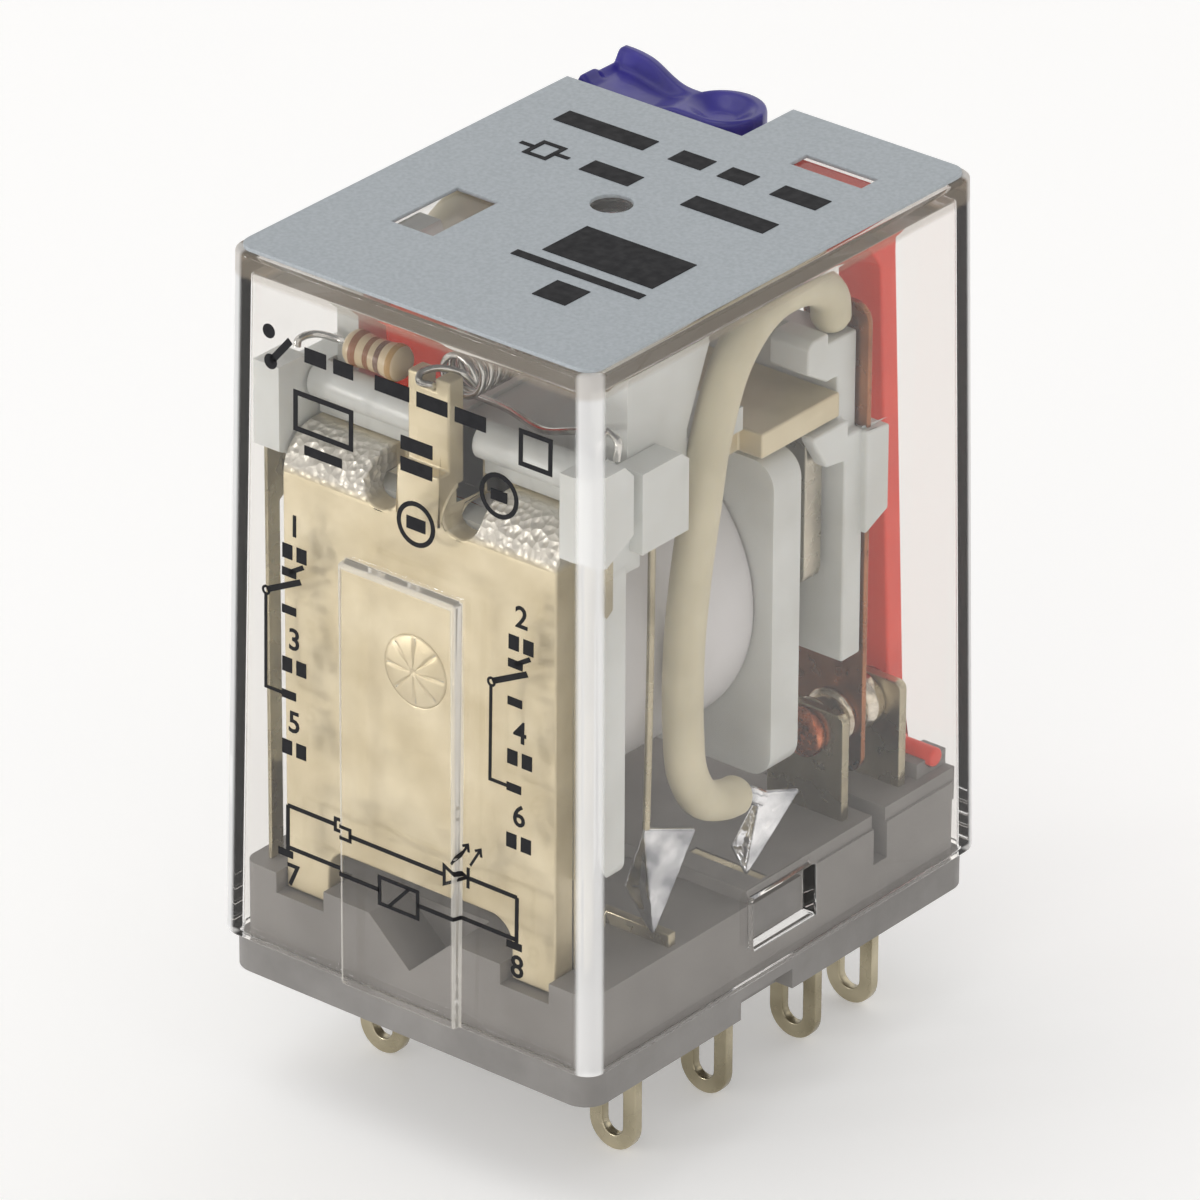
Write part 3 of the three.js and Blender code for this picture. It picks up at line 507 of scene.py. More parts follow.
def peened_face(name, centre, front, radius, rays=8, rings=14, spokes=96):
    """A low dome with a groove along each ray, closed behind so that it is a solid button."""
    points = [(centre[0], front, centre[1])]
    faces = []
    for ring in range(1, rings + 1):
        share = ring / rings
        for spoke in range(spokes):
            angle = 2 * math.pi * spoke / spokes
            near_ray = max(0.0, 1 - abs(math.sin(angle * rays / 2)) / 0.3)
            groove = near_ray * min(1, share / 0.3) * (1 - share ** 6)
            dome = PEEN_RISE * (1 - share ** 3)
            depth = front - dome + PEEN_GROOVE * groove
            out = radius * share
            points.append((centre[0] + out * math.cos(angle), depth, centre[1] + out * math.sin(angle)))
    for spoke in range(spokes):
        after = (spoke + 1) % spokes
        faces.append((0, 1 + spoke, 1 + after))
        for ring in range(rings - 1):
            inner, outer = 1 + ring * spokes, 1 + (ring + 1) * spokes
            faces.append((inner + spoke, outer + spoke, outer + after, inner + after))
    rim = 1 + (rings - 1) * spokes
    base = len(points)
    points += [(x, front + PEEN_SUNK, z) for x, _, z in points[rim:rim + spokes]]
    faces += [(rim + s, base + s, base + (s + 1) % spokes, rim + (s + 1) % spokes) for s in range(spokes)]
    faces.append(tuple(base + s for s in reversed(range(spokes))))
    mesh = bpy.data.meshes.new(name)
    mesh.from_pydata([(x * MM, y * MM, z * MM) for x, y, z in points], [], faces)
    return mesh


def outward(mesh):
    shape = bmesh.new()
    shape.from_mesh(mesh)
    bmesh.ops.recalc_face_normals(shape, faces=shape.faces)
    shape.to_mesh(mesh)
    shape.free()
    return mesh


def joined(piece, *others):
    """Adds the meshes of other objects to a piece and removes those objects."""
    shape = bmesh.new()
    shape.from_mesh(piece.data)
    for other in others:
        start = len(piece.data.materials)
        piece.data.materials.append(other.data.materials[0])
        first = len(shape.faces)
        shape.from_mesh(other.data)
        shape.faces.ensure_lookup_table()
        for face in shape.faces[first:]:
            face.material_index = start
        bpy.data.objects.remove(other)
    shape.to_mesh(piece.data)
    shape.free()
    return piece


core_piece = rounded(welded_copy("core", "core_steel", bright_steel), 0.08)
peen = new_object("peen", outward(peened_face("peen", (0, COIL_AXIS), -12.2, 1.72)), passivated)
peen.data.shade_smooth()
joined(core_piece, peen)
stand_in(core_piece, "core")
print("core", len(core_piece.data.polygons), "faces")

# %% [markdown]
# ## Winding and tape
# The winding is one wire laid in turns side by side, which is a job for Geometry Nodes: one round turn,
# repeated along the barrel. The tape is a band with a lapped end, so its radius grows by one thickness over
# a full turn.

# %% Node trees for wire
def node_group(name, inputs):
    """A new node tree: gives the tree, the sockets of its named inputs, and their identifiers."""
    tree = bpy.data.node_groups.new(name, "GeometryNodeTree")
    tree.interface.new_socket(name="Geometry", in_out="INPUT", socket_type="NodeSocketGeometry")
    tree.interface.new_socket(name="Geometry", in_out="OUTPUT", socket_type="NodeSocketGeometry")
    key = {}
    for label, kind in inputs:
        socket = tree.interface.new_socket(name=label, in_out="INPUT", socket_type="NodeSocket" + kind)
        key[label] = socket.identifier
    return tree, add_node(tree, "NodeGroupInput").outputs, key


def swept(tree, path, radius, **section_inputs):
    """A round wire of this radius along a path."""
    section = add_node(tree, "GeometryNodeCurvePrimitiveCircle", {"Radius": radius, **section_inputs})
    round_curve = section.outputs["Curve"]
    return add_node(tree, "GeometryNodeCurveToMesh", {"Curve": path, "Profile Curve": round_curve})


def painted(tree, geometry, material):
    """Ends a tree: instances become real mesh and take their finish."""
    real = add_node(tree, "GeometryNodeRealizeInstances", {"Geometry": geometry}).outputs["Geometry"]
    paint = add_node(tree, "GeometryNodeSetMaterial", {"Geometry": real, "Material": material})
    add_node(tree, "NodeGroupOutput", {"Geometry": paint.outputs["Geometry"]})


def grown(name, tree, key, sizes, material):
    """Runs a node tree on an empty mesh and keeps the result as a plain mesh."""
    piece = new_object(name, bpy.data.meshes.new(name), material)
    modifier = piece.modifiers.new("nodes", "NODES")
    modifier.node_group = tree
    for label, value in {**sizes, "Finish": material}.items():
        modifier[key[label]] = value
    bake(piece)
    piece.data.shade_smooth()
    return piece


# %% Winding turns
tree, given, key = node_group("turns_of_wire", [
    ("Turns", "Int"), ("Coil radius", "Float"), ("Wire radius", "Float"),
    ("First", "Vector"), ("Step", "Vector"), ("Finish", "Material")])
loop = add_node(tree, "GeometryNodeCurvePrimitiveCircle", {"Resolution": 72, "Radius": given["Coil radius"]})
turn = swept(tree, loop.outputs["Curve"], given["Wire radius"], Resolution=6)
row = add_node(tree, "GeometryNodeMeshLine", {
    "Count": given["Turns"], "Start Location": given["First"], "Offset": given["Step"]})
stamp = add_node(tree, "GeometryNodeInstanceOnPoints", {
    "Points": row.outputs["Mesh"], "Instance": turn.outputs["Mesh"], "Rotation": (math.pi / 2, 0, 0)})
painted(tree, stamp.outputs["Instances"], given["Finish"])

low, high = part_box("winding")
WIRE_R = 0.11 * MM
turn_count = int((high.y - low.y) / (2 * WIRE_R))
turns = grown("winding_turns", tree, key, {
    "Turns": turn_count, "Coil radius": high.x - WIRE_R, "Wire radius": WIRE_R,
    "First": (0, low.y + WIRE_R, COIL_AXIS * MM), "Step": (0, 2 * WIRE_R, 0)}, enamelled)

# the layers below the outer turns: the CAD barrel, drawn in so that the turns stand proud of it
BARREL_ONLY = 6 * MM
inner_layers = welded_copy("winding", "inner_layers", enamelled)
for vertex in inner_layers.data.vertices:
    reach = math.hypot(vertex.co.x, vertex.co.z - COIL_AXIS * MM)
    if reach > BARREL_ONLY:
        shrink = (reach - 1.2 * WIRE_R) / reach
        vertex.co.x *= shrink
        vertex.co.z = COIL_AXIS * MM + (vertex.co.z - COIL_AXIS * MM) * shrink
joined(turns, inner_layers)
stand_in(turns, "winding")
print("turns", turn_count)

# %% [markdown]
# The tape goes once round the winding and laps over its own start. A plain tube would have no lapped end,
# so the band is laid out here ring by ring, from a short profile that drops a little at both edges.

# %% Tape
TAPE_THICK, LAP_RISE = 0.13, 0.1
TAPE_START = math.radians(200)


def lapped_tape(name, segments=144, lap=16):
    low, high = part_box("coil_tape")
    outer = high.x / MM
    near, far = low.y / MM, high.y / MM
    rows = [(near, -0.12), (near + 0.12, -0.02), (near + 0.5, 0.0),
            (far - 0.5, 0.0), (far - 0.12, -0.02), (far, -0.12)]
    points, faces = [], []
    count = segments + lap
    for i in range(count + 1):
        angle = TAPE_START + 2 * math.pi * i / segments
        radius = outer - LAP_RISE + LAP_RISE * min(1.0, i / segments)
        for inside in (False, True):
            for y, drop in rows:
                r = radius + drop - (TAPE_THICK + drop * 0.9 if inside else 0)
                points.append((r * math.cos(angle) * MM, y * MM, (COIL_AXIS + r * math.sin(angle)) * MM))
    width = len(rows)
    for i in range(count):
        a, b = i * 2 * width, (i + 1) * 2 * width
        for j in range(width - 1):
            faces.append((a + j, a + j + 1, b + j + 1, b + j))
            faces.append((a + width + j, b + width + j, b + width + j + 1, a + width + j + 1))
        faces.append((a, b, b + width, a + width))
        faces.append((a + width - 1, a + 2 * width - 1, b + 2 * width - 1, b + width - 1))
    for a in (0, count * 2 * width):
        for j in range(width - 1):
            faces.append((a + j, a + j + 1, a + width + j + 1, a + width + j))
    mesh = bpy.data.meshes.new(name)
    mesh.from_pydata(points, [], faces)
    return outward(mesh)


tape_piece = new_object("wrapped_tape", lapped_tape("wrapped_tape"), tape)
tape_piece.data.shade_smooth()
tape_piece.data.set_sharp_from_angle(angle=math.radians(40))
stand_in(tape_piece, "coil_tape")
print("tape", len(tape_piece.data.polygons), "faces")

# %% [markdown]
# ## Terminals, contacts and springs
# Terminals and contact springs are stamped from sheet, which leaves a slightly rolled edge. The CAD blades
# have their true outline, so a narrow bevel on each is all they need.

# %% Terminals and springs
for side_name in ("left", "right"):
    for row_name in ("coil", "common", "open", "closed"):
        node = f"{row_name}_terminal_{side_name}"
        edged(node, f"{row_name}_blade_{side_name}", brass, 0.07)
    edged(f"riser_strip_{side_name}", f"feed_strip_{side_name}", brass, 0.04)
    edged(f"moving_spring_{side_name}", f"contact_spring_{side_name}", bronze, 0.05)

# %% [markdown]
# The fixed contacts are rivets: a silver head on one side of the blade and a spread copper tail on the
# other. One round solid has both, and its faces are told apart by which side of the blade they lie on.

# %% Contacts
BLADE_Y = {"open": 5.6, "closed": 9.7}
TAIL_SIDE = -0.2
for side_name in ("left", "right"):
    for row_name, facing in (("open", 1), ("closed", -1)):
        node = f"{row_name}_contact_{side_name}"
        piece = rounded(welded_copy(node, f"{row_name}_rivet_{side_name}", silver), 0.12, 3, 25)
        piece.data.materials.append(copper)
        for face in piece.data.polygons:
            if (face.center.y / MM - BLADE_Y[row_name]) * facing < TAIL_SIDE:
                face.material_index = 1
        stand_in(piece, node)
    edged(f"moving_contact_{side_name}", f"moving_rivet_{side_name}", silver, 0.12, 3)
print("contacts ready")

# %% [markdown]
# ## Wires and the return spring
# A round wire is a section carried along a smooth path. The path helper rounds a short list of points, and
# the tube helper turns its section as little as possible from point to point, so nothing twists. It can
# also change its radius on the way, which a plain curve bevel does less simply.

# %% Paths and tubes
def smooth_path(points, per_span=10):
    """A curve through every point, on centripetal spacing so that tight corners don't loop."""
    points = [Vector(p) for p in points]
    ends = [2 * points[0] - points[1]] + points + [2 * points[-1] - points[-2]]
    path = []
    for i in range(1, len(ends) - 2):
        p = ends[i - 1:i + 3]
        t = [0.0]
        for a, b in zip(p, p[1:]):
            t.append(t[-1] + max((b - a).length, 1e-9) ** 0.5)
        for step in range(per_span):
            s = t[1] + (t[2] - t[1]) * step / per_span
            a1 = (t[1] - s) / (t[1] - t[0]) * p[0] + (s - t[0]) / (t[1] - t[0]) * p[1]
            a2 = (t[2] - s) / (t[2] - t[1]) * p[1] + (s - t[1]) / (t[2] - t[1]) * p[2]
            a3 = (t[3] - s) / (t[3] - t[2]) * p[2] + (s - t[2]) / (t[3] - t[2]) * p[3]
            b1 = (t[2] - s) / (t[2] - t[0]) * a1 + (s - t[0]) / (t[2] - t[0]) * a2
            b2 = (t[3] - s) / (t[3] - t[1]) * a2 + (s - t[1]) / (t[3] - t[1]) * a3
            path.append((t[2] - s) / (t[2] - t[1]) * b1 + (s - t[1]) / (t[2] - t[1]) * b2)
    return path + [points[-1]]


def ring_skin(name, points, sides, material, sharp_degrees):
    """A closed skin over rings of points, in millimetres, with a flat face at each end."""
    faces = []
    last = len(points) - sides
    for a in range(0, last, sides):
        b = a + sides
        faces += [(a + k, a + (k + 1) % sides, b + (k + 1) % sides, b + k) for k in range(sides)]
    faces.append(tuple(reversed(range(sides))))
    faces.append(tuple(range(last, last + sides)))
    mesh = bpy.data.meshes.new(name)
    mesh.from_pydata([tuple(Vector(point) * MM) for point in points], [], faces)
    piece = new_object(name, outward(mesh), material)
    mesh.shade_smooth()
    mesh.set_sharp_from_angle(angle=math.radians(sharp_degrees))
    return piece


def tube(name, path, radii, sides, material):
    if not hasattr(radii, "__len__"):
        radii = [radii] * len(path)
    points = []
    heading = (path[1] - path[0]).normalized()
    across = heading.orthogonal().normalized()
    for i, centre in enumerate(path):
        ahead = (path[min(i + 1, len(path) - 1)] - path[max(i - 1, 0)]).normalized()
        across = (heading.rotation_difference(ahead) @ across).normalized()
        heading = ahead
        other = heading.cross(across)
        for k in range(sides):
            angle = 2 * math.pi * k / sides
            points.append(centre + radii[i] * (math.cos(angle) * across + math.sin(angle) * other))
    return ring_skin(name, points, sides, material, 60)


# %% [markdown]
# The sleeved leads leave the common terminal, climb beside the coil and turn over to the moving spring. The
# sleeve is cut square, so its ends have a small rounded lip, and the bare wire shows for a short way.

# %% Sleeved leads
SLEEVE_R, BARE_R = 0.9, 0.42
LEAD_ROUTE = [
    (8.3, -1.35, 10.0), (8.4, -2.6, 10.25), (8.45, -4.1, 11.0), (8.45, -5.1, 12.6), (8.4, -5.35, 14.8),
    (8.4, -5.35, 18.5), (8.4, -5.0, 21.6), (8.3, -4.2, 25.0), (8.2, -3.4, 28.0), (8.05, -1.8, 31.0),
    (7.7, 0.9, 32.4), (7.35, 4.2, 32.1), (7.05, 6.1, 30.8), (6.9, 6.5, 29.35)]
for side_name, hand in (("left", -1), ("right", 1)):
    path = smooth_path([(hand * x, y, z) for x, y, z in LEAD_ROUTE], 12)
    reach = [0.0]
    for a, b in zip(path, path[1:]):
        reach.append(reach[-1] + (b - a).length)
    lip = [min(1.0, 0.82 + 0.6 * min(s, reach[-1] - s)) for s in reach]
    lead = tube(f"sleeved_lead_{side_name}", path, [SLEEVE_R * share for share in lip], 28, sleeve)
    steps = ((0, -0.6, 0.05), (0, 0, 0), (hand * 0.05, 0.6, -0.25), (hand * 0.2, 1.3, -0.7))
    bare_path = smooth_path([path[0] + Vector(step) for step in steps], 6)
    bare = tube("bare", bare_path, BARE_R, 12, solder_skin)
    joined(lead, bare)
    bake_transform(lead)
    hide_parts(f"flexible_lead_{side_name}")
    print("lead", side_name, "mm long", round(reach[-1], 1))

# %% [markdown]
# Four thin wires join the coil, the resistor and the lamp. The coil's two ends run straight up, tinned like
# the terminals, and the other two are bright steel bent by hand.

# %% Thin wires
THIN_R = 0.17
THIN = {
    "coil_lead_left": [(-8.7, -8.2, 11.3), (-8.7, -8.1, 15), (-8.7, -8.0, 20), (-8.7, -7.95, 25.05)],
    "coil_lead_right": [(8.7, -8.2, 11.3), (8.7, -8.1, 15), (8.7, -8.0, 20), (8.7, -7.95, 25.05)],
    "resistor_lead": [(-6.35, -9.0, 29.9), (-7.2, -8.9, 29.9), (-8.2, -9.3, 30.0), (-8.5, -10, 29.9),
                      (-8.5, -10.1, 29.6)],
    "lamp_lead": [(-3.3, -6.7, 28.2), (0, -6.6, 28.1), (3, -7.7, 28.4), (5.8, -9.0, 29.7), (7.6, -9.6, 30.5),
                  (8.5, -10.0, 30.4), (8.5, -10.1, 29.6)],
}
for node, route in THIN.items():
    wire = tube(node + "_wire", smooth_path(route, 10), THIN_R, 12, brass if "coil" in node else spring_wire)
    stand_in(wire, node)
print("wires", len(THIN))

# %% [markdown]
# The return spring is a close helix with a hook at each end. Geometry Nodes grows the helix from its sizes,
# and two short tubes add the hooks. On the real relay it stretches as the armature closes; here it is one
# fixed mesh.

# %% Return spring
SPRING_WIRE_R = 0.16
HELIX = {"start": -9.6, "end": 4.4, "radius": 0.98, "turns": 26, "height": 30.6}
tree, given, key = node_group("helix", [
    ("Turns", "Float"), ("Helix radius", "Float"), ("Length", "Float"),
    ("Wire radius", "Float"), ("Start", "Vector"), ("Finish", "Material")])
spiral = add_node(tree, "GeometryNodeCurveSpiral", {
    "Resolution": 28, "Rotations": given["Turns"], "Height": given["Length"],
    "Start Radius": given["Helix radius"], "End Radius": given["Helix radius"]})
coil = swept(tree, spiral.outputs["Curve"], given["Wire radius"], Resolution=10)
set_inputs(coil, {"Fill Caps": True})
lay = add_node(tree, "GeometryNodeTransform", {
    "Geometry": coil.outputs["Mesh"], "Rotation": (-math.pi / 2, 0, 0), "Translation": given["Start"]})
painted(tree, lay.outputs["Geometry"], given["Finish"])

spring = grown("return_spring_coil", tree, key, {
    "Turns": float(HELIX["turns"]), "Helix radius": HELIX["radius"] * MM,
    "Length": (HELIX["end"] - HELIX["start"]) * MM, "Wire radius": SPRING_WIRE_R * MM,
    "Start": (0, HELIX["start"] * MM, HELIX["height"] * MM)}, spring_wire)
outward(spring.data)
front_route = [(HELIX["radius"], HELIX["start"], HELIX["height"]), (0.75, -10.2, 31.3), (0, -10.9, 31.55),
               (-0.3, -11.6, 31.5), (0, -12.05, 31.35), (0.3, -11.6, 31.1), (0.1, -11.2, 30.9)]
rear_route = [(HELIX["radius"], HELIX["end"], HELIX["height"]), (0.6, 4.9, 31.0), (0, 5.4, 30.9),
              (0, 6.6, 30.75), (0, 7.5, 30.7), (0, 7.6, 30.2)]
front_hook = tube("front_hook", smooth_path(front_route, 10), SPRING_WIRE_R, 10, spring_wire)
rear_hook = tube("rear_hook", smooth_path(rear_route, 8), SPRING_WIRE_R, 10, spring_wire)
joined(spring, front_hook, rear_hook)
spring.data.shade_smooth()
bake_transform(spring)
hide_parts("return_spring")
print("spring turns", HELIX["turns"])

# %% [markdown]
# ## Solder joints
# Molten solder pulls itself into a thin leaf between a tab and a wire: sharp ridges with hollow faces
# between them. The CAD leaf is remeshed finely, then every point far from a ridge is drawn in towards the
# middle.

# %% Solder joints
RIDGE_HALF, FULL_HOLLOW_AT, DRAWN_IN = 0.14 * MM, 0.9 * MM, 0.2
RIDGE_ENDS = ((0, 1), (1, 2), (0, 2), (2, 3), (0, 3), (3, 4), (1, 4))
JOINTS = {
    "coil_solder": [(8.7, -8.2, 11.2), (9.3, -5.8, 10.4), (8.7, -7.7, 6.1), (7.4, -7.9, 7.9),
                    (7.3, -6.4, 9.0)],
    "common_solder": [(8.5, 0.0, 9.5), (9.25, 1.45, 9.3), (8.6, -1.1, 6.15), (7.6, -0.75, 6.9),
                      (7.6, 0.6, 8.0)],
}


def distance_to_ridge(point, a, b):
    along = b - a
    share = max(0.0, min(1.0, (point - a).dot(along) / along.length_squared))
    return (point - a - along * share).length


for joint, corners in JOINTS.items():
    for side_name, hand in (("left", -1), ("right", 1)):
        node = f"{joint}_{side_name}"
        piece = welded_copy(node, f"{joint}_leaf_{side_name}", solder_skin)
        remesh = piece.modifiers.new("fine", "REMESH")
        remesh.mode = "VOXEL"
        remesh.voxel_size = 0.07 * MM
        bake(piece)
        tips = [Vector((hand * x, y, z)) * MM for x, y, z in corners]
        middle = sum(tips, Vector()) / len(tips)
        ridges = [(tips[i], tips[j]) for i, j in RIDGE_ENDS]
        for vertex in piece.data.vertices:
            clear_of_ridge = min(distance_to_ridge(vertex.co, a, b) for a, b in ridges) - RIDGE_HALF
            hollow = min(1.0, max(0.0, clear_of_ridge) / FULL_HOLLOW_AT)
            vertex.co += (middle - vertex.co) * DRAWN_IN * hollow
        piece.data.materials.clear()
        piece.data.materials.append(solder_skin)
        piece.data.shade_smooth()
        stand_in(piece, node)
print("solder joints", 2 * len(JOINTS))

# %% [markdown]
# ## Lamp and resistor
# The lamp is a small red moulded dome. The resistor is a ceramic body, a little fatter at its ends, with
# colour bands painted round it: the bands are a ramp along X.

# %% Lamp
def turned(name, profile, axis, centre, material, sides=40):
    """A closed profile of (radius, distance) pairs turned about an axis, in millimetres."""
    points = []
    for radius, along in profile:
        for k in range(sides):
            angle = 2 * math.pi * k / sides
            u, v = radius * math.cos(angle), radius * math.sin(angle)
            spot = (along, u, v) if axis == "x" else (u, v, along)
            points.append(Vector(spot) + Vector(centre))
    return ring_skin(name, points, sides, material, 50)


# the lens's faint emission is a painted glow that brightens the red dome
lamp_lens = finish("lamp_lens", (216, 52, 28), (232, 72, 44), (0.12, 0.22), grain=1500, depth_mm=0.004, more={
    "Transmission Weight": 0.1, "Emission Color": linear(230, 70, 40), "Emission Strength": 0.2,
    "Coat Weight": 0.4})
low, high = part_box("indicator_lamp")
lamp_r, lamp_top, lamp_foot = (high.x - low.x) / 2 / MM, high.z / MM, low.z / MM
TIP_R = 0.001
dome = []
for degrees in range(0, 91, 9):
    angle = math.radians(degrees)
    dome.append((lamp_r * math.cos(angle) + TIP_R, lamp_top - lamp_r + lamp_r * math.sin(angle)))
flange = [(lamp_r - 0.1, lamp_foot), (lamp_r, lamp_foot + 0.1), (lamp_r, lamp_foot + 0.9),
          (lamp_r - 0.12, lamp_foot + 1.0)]
lamp_centre = ((low.x + high.x) / 2 / MM, (low.y + high.y) / 2 / MM, 0)
lamp_piece = turned("lamp_dome", flange + dome, "z", lamp_centre, lamp_lens)
stand_in(lamp_piece, "indicator_lamp")
print("lamp radius", round(lamp_r, 2))

# %% Resistor
ceramic = finish("banded_ceramic", (206, 186, 146), (218, 200, 162), (0.25, 0.4), grain=2400, depth_mm=0.004)
tree, shader = workings(ceramic)
low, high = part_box("series_resistor")
along = spread(tree, axes(tree)["X"], low.x, high.x)
body, gold = linear(214, 194, 158), linear(186, 146, 84)
brown, umber = linear(150, 98, 62), linear(120, 84, 62)
bands = ramp(tree, along, [(0.0, body), (0.16, brown), (0.27, body), (0.4, brown), (0.5, body), (0.6, umber),
                           (0.7, body), (0.84, gold), (0.93, body)])
bands.node.color_ramp.interpolation = "CONSTANT"
tree.links.new(bands, shader.inputs["Base Color"])
radius = (high.z - low.z) / 2 / MM
length = (high.x - low.x) / MM
near_half = [(0.25, 0.0), (radius * 0.8, 0.06), (radius * 0.98, 0.28), (radius, 0.5), (radius * 0.93, 0.75),
             (radius * 0.88, 1.0)]
far_half = [(r, length - distance) for r, distance in reversed(near_half)]
resistor_start = (low.x / MM, (low.y + high.y) / 2 / MM, (low.z + high.z) / 2 / MM)
resistor = turned("resistor_body", near_half + far_half, "x", resistor_start, ceramic)
stand_in(resistor, "series_resistor")
print("resistor length", round(length, 2))

# %% [markdown]
# ## Test lever
# The lever has a round thumb end with a shallow dish, a narrow waist, and a fin that runs along its back
# edge. It is a height field over its own outline: easier to shape than a stack of solids, because one
# formula gives the rounding of the rim, the dish and the fin. All lengths in it are in millimetres.

# %% Shape of the test lever
def smoothstep(value, low, high):
    share = max(0.0, min(1.0, (value - low) / (high - low)))
    return share * share * (3 - 2 * share)


THUMB_X, THUMB_Y, THUMB_R = -2.5, 11.35, 1.85
LEVER_LEFT, LEVER_RIGHT = -9.32, -0.68
LEVER_FOOT, LEVER_TOP = 31.55, 35.0


def thumb_half_width(x):
    return math.sqrt(max(0.0, THUMB_R ** 2 - (x - THUMB_X) ** 2))


def lever_back_edge(x):
    head = THUMB_Y + thumb_half_width(x) if x > THUMB_X - THUMB_R else 0
    shank = 12.05 + 0.8 * smoothstep(-x, 5.0, 8.9)
    return max(head, shank) if x < THUMB_X else head


def lever_front_edge(x):
    return 9.53 if x < THUMB_X else THUMB_Y - thumb_half_width(x) + 0.03


def lever_height(x, y, gap):
    """Height of the top face, where gap is the distance from the rim."""
    rim = 0.3
    drop = rim * (1 - math.sqrt(max(0.0, 1 - (1 - min(1.0, gap / rim)) ** 2)))
    dish = 0.55 * smoothstep(1.5 - math.hypot((x + 2.6) * 0.85, y - 11.25), 0.0, 1.0)
    fin = 0.55 * smoothstep(y - lever_back_edge(x), -0.95, -0.45) * smoothstep(-x, 4.6, 7.6)
    tray = 0.3 * smoothstep(y - lever_back_edge(x), -0.5, -1.1)
    tray *= smoothstep(-x, 4.0, 5.5) * smoothstep(-x, 9.2, 8.8)
    knob = 0.2 * smoothstep(-x, 8.5, 9.0) * smoothstep(-y, -10.9, -10.4)
    return LEVER_TOP - drop - dish - tray + fin + knob


def lever_mesh(name, columns=150, rows=44):
    top_points, low_points, faces = [], [], []
    even = 0.8
    for i in range(columns + 1):
        share = i / columns
        if share > even:
            # the columns crowd together towards the round tip
            share = even + (1 - even) * math.sin((share - even) / (1 - even) * math.pi / 2)
        x = LEVER_LEFT + (LEVER_RIGHT - LEVER_LEFT) * share
        front, rear = lever_front_edge(x), lever_back_edge(x)
        for j in range(rows + 1):
            y = front + (rear - front) * j / rows
            gap = min(y - front, rear - y, x - LEVER_LEFT, (LEVER_RIGHT - x) * 3)
            top_points.append((x * MM, y * MM, lever_height(x, y, max(gap, 0)) * MM))
            low_points.append((x * MM, y * MM, LEVER_FOOT * MM))
    width = rows + 1
    lower = len(top_points)
    for i in range(columns):
        for j in range(rows):
            a = i * width + j
            faces.append((a, a + width, a + width + 1, a + 1))
            faces.append((lower + a, lower + a + 1, lower + a + width + 1, lower + a + width))
    for i in range(columns):
        for j in (0, rows):
            a = i * width + j
            faces.append((a, a + width, lower + a + width, lower + a))
    for i in (0, columns):
        for j in range(rows):
            a = i * width + j
            faces.append((a, a + 1, lower + a + 1, lower + a))
    mesh = bpy.data.meshes.new(name)
    mesh.from_pydata(top_points + low_points, [], faces)
    return outward(mesh)


# %% [markdown]
# Two plainer parts join it underneath: the pin that it turns on, and a short tooth with a tapered end. They
# are joined to the lever rather than kept apart, because on the real one all three are a single moulding.

# %% Lever, pin and tooth
lever = new_object("lever_moulding", lever_mesh("lever_moulding"), blue_acetal)
lever.data.shade_smooth()
lever.data.set_sharp_from_angle(angle=math.radians(55))
pin = turned("pin", [(0.5, 0.0), (0.58, 0.08), (0.58, 2.9), (0.5, 2.98)], "x", (0, 0, 0), blue_acetal)
PIN_FRONT = Vector((-8.7, 8.95, 33.2))
pin.data.transform(Matrix.Translation(PIN_FRONT * MM) @ Matrix.Rotation(math.pi / 2, 4, "Z"))
tooth_points = []
for z, inset in ((31.7, 0), (29.8, 0), (29.45, 0.25)):
    left, right = -9.15 + inset, -8.25 - inset
    tooth_points += [(left, 10.05, z), (right, 10.05, z), (right, 10.95, z), (left, 10.95, z)]
tooth_faces = [(0, 1, 2, 3), (8, 9, 10, 11)]
for a in (0, 4):
    tooth_faces += [(a + k, a + (k + 1) % 4, a + 4 + (k + 1) % 4, a + 4 + k) for k in range(4)]
tooth_mesh = bpy.data.meshes.new("tooth")
tooth_mesh.from_pydata([(x * MM, y * MM, z * MM) for x, y, z in tooth_points], [], tooth_faces)
tooth = rounded(new_object("tooth", outward(tooth_mesh), blue_acetal), 0.08)
joined(lever, pin, tooth)
stand_in(lever, "test_lever")
print("lever", len(lever.data.polygons), "faces")

# %% [markdown]
# ## Cover and label
# The cover keeps its CAD shape with softened edges, because clear plastic shows its edges more than its
# faces: a round edge gathers light into the bright line that outlines the box.

# %% Cover and label
edged("cover", "clear_cover", clear, 0.16, 3)
edged("top_label", "label_foil", foil, 0.04)

# %% [markdown]
# ## Printing
# The print is thin ink, drawn as strokes 0.03 mm proud of the surface. An image would do it too, but strokes
# stay sharp from any distance. It holds only general signs: contact, coil, resistor and diode symbols, plain
# numbers for the eight terminals, and blank bars where words would stand.

# %% Strokes of ink
COVER_BOTTOM, COVER_TOP, HALF_LENGTH, DRAFT = 1.75, 34.85, 13.75, 0.55
PANEL_HALF, PANEL_TOP, PANEL_PROUD = 3.3, 22.45, 0.3
LABEL_FACE = 35.05
INK_FACE, INK_BACK = 0.03, 0.002


def on_front(a, b, lift):
    y = -(HALF_LENGTH - DRAFT * (b - COVER_BOTTOM) / (COVER_TOP - COVER_BOTTOM)) - lift
    if abs(a) < PANEL_HALF and b < PANEL_TOP:
        y = min(y, -HALF_LENGTH - PANEL_PROUD - lift)
    return (a * MM, y * MM, b * MM)


def on_top(a, b, lift):
    return (a * MM, b * MM, (LABEL_FACE + lift) * MM)


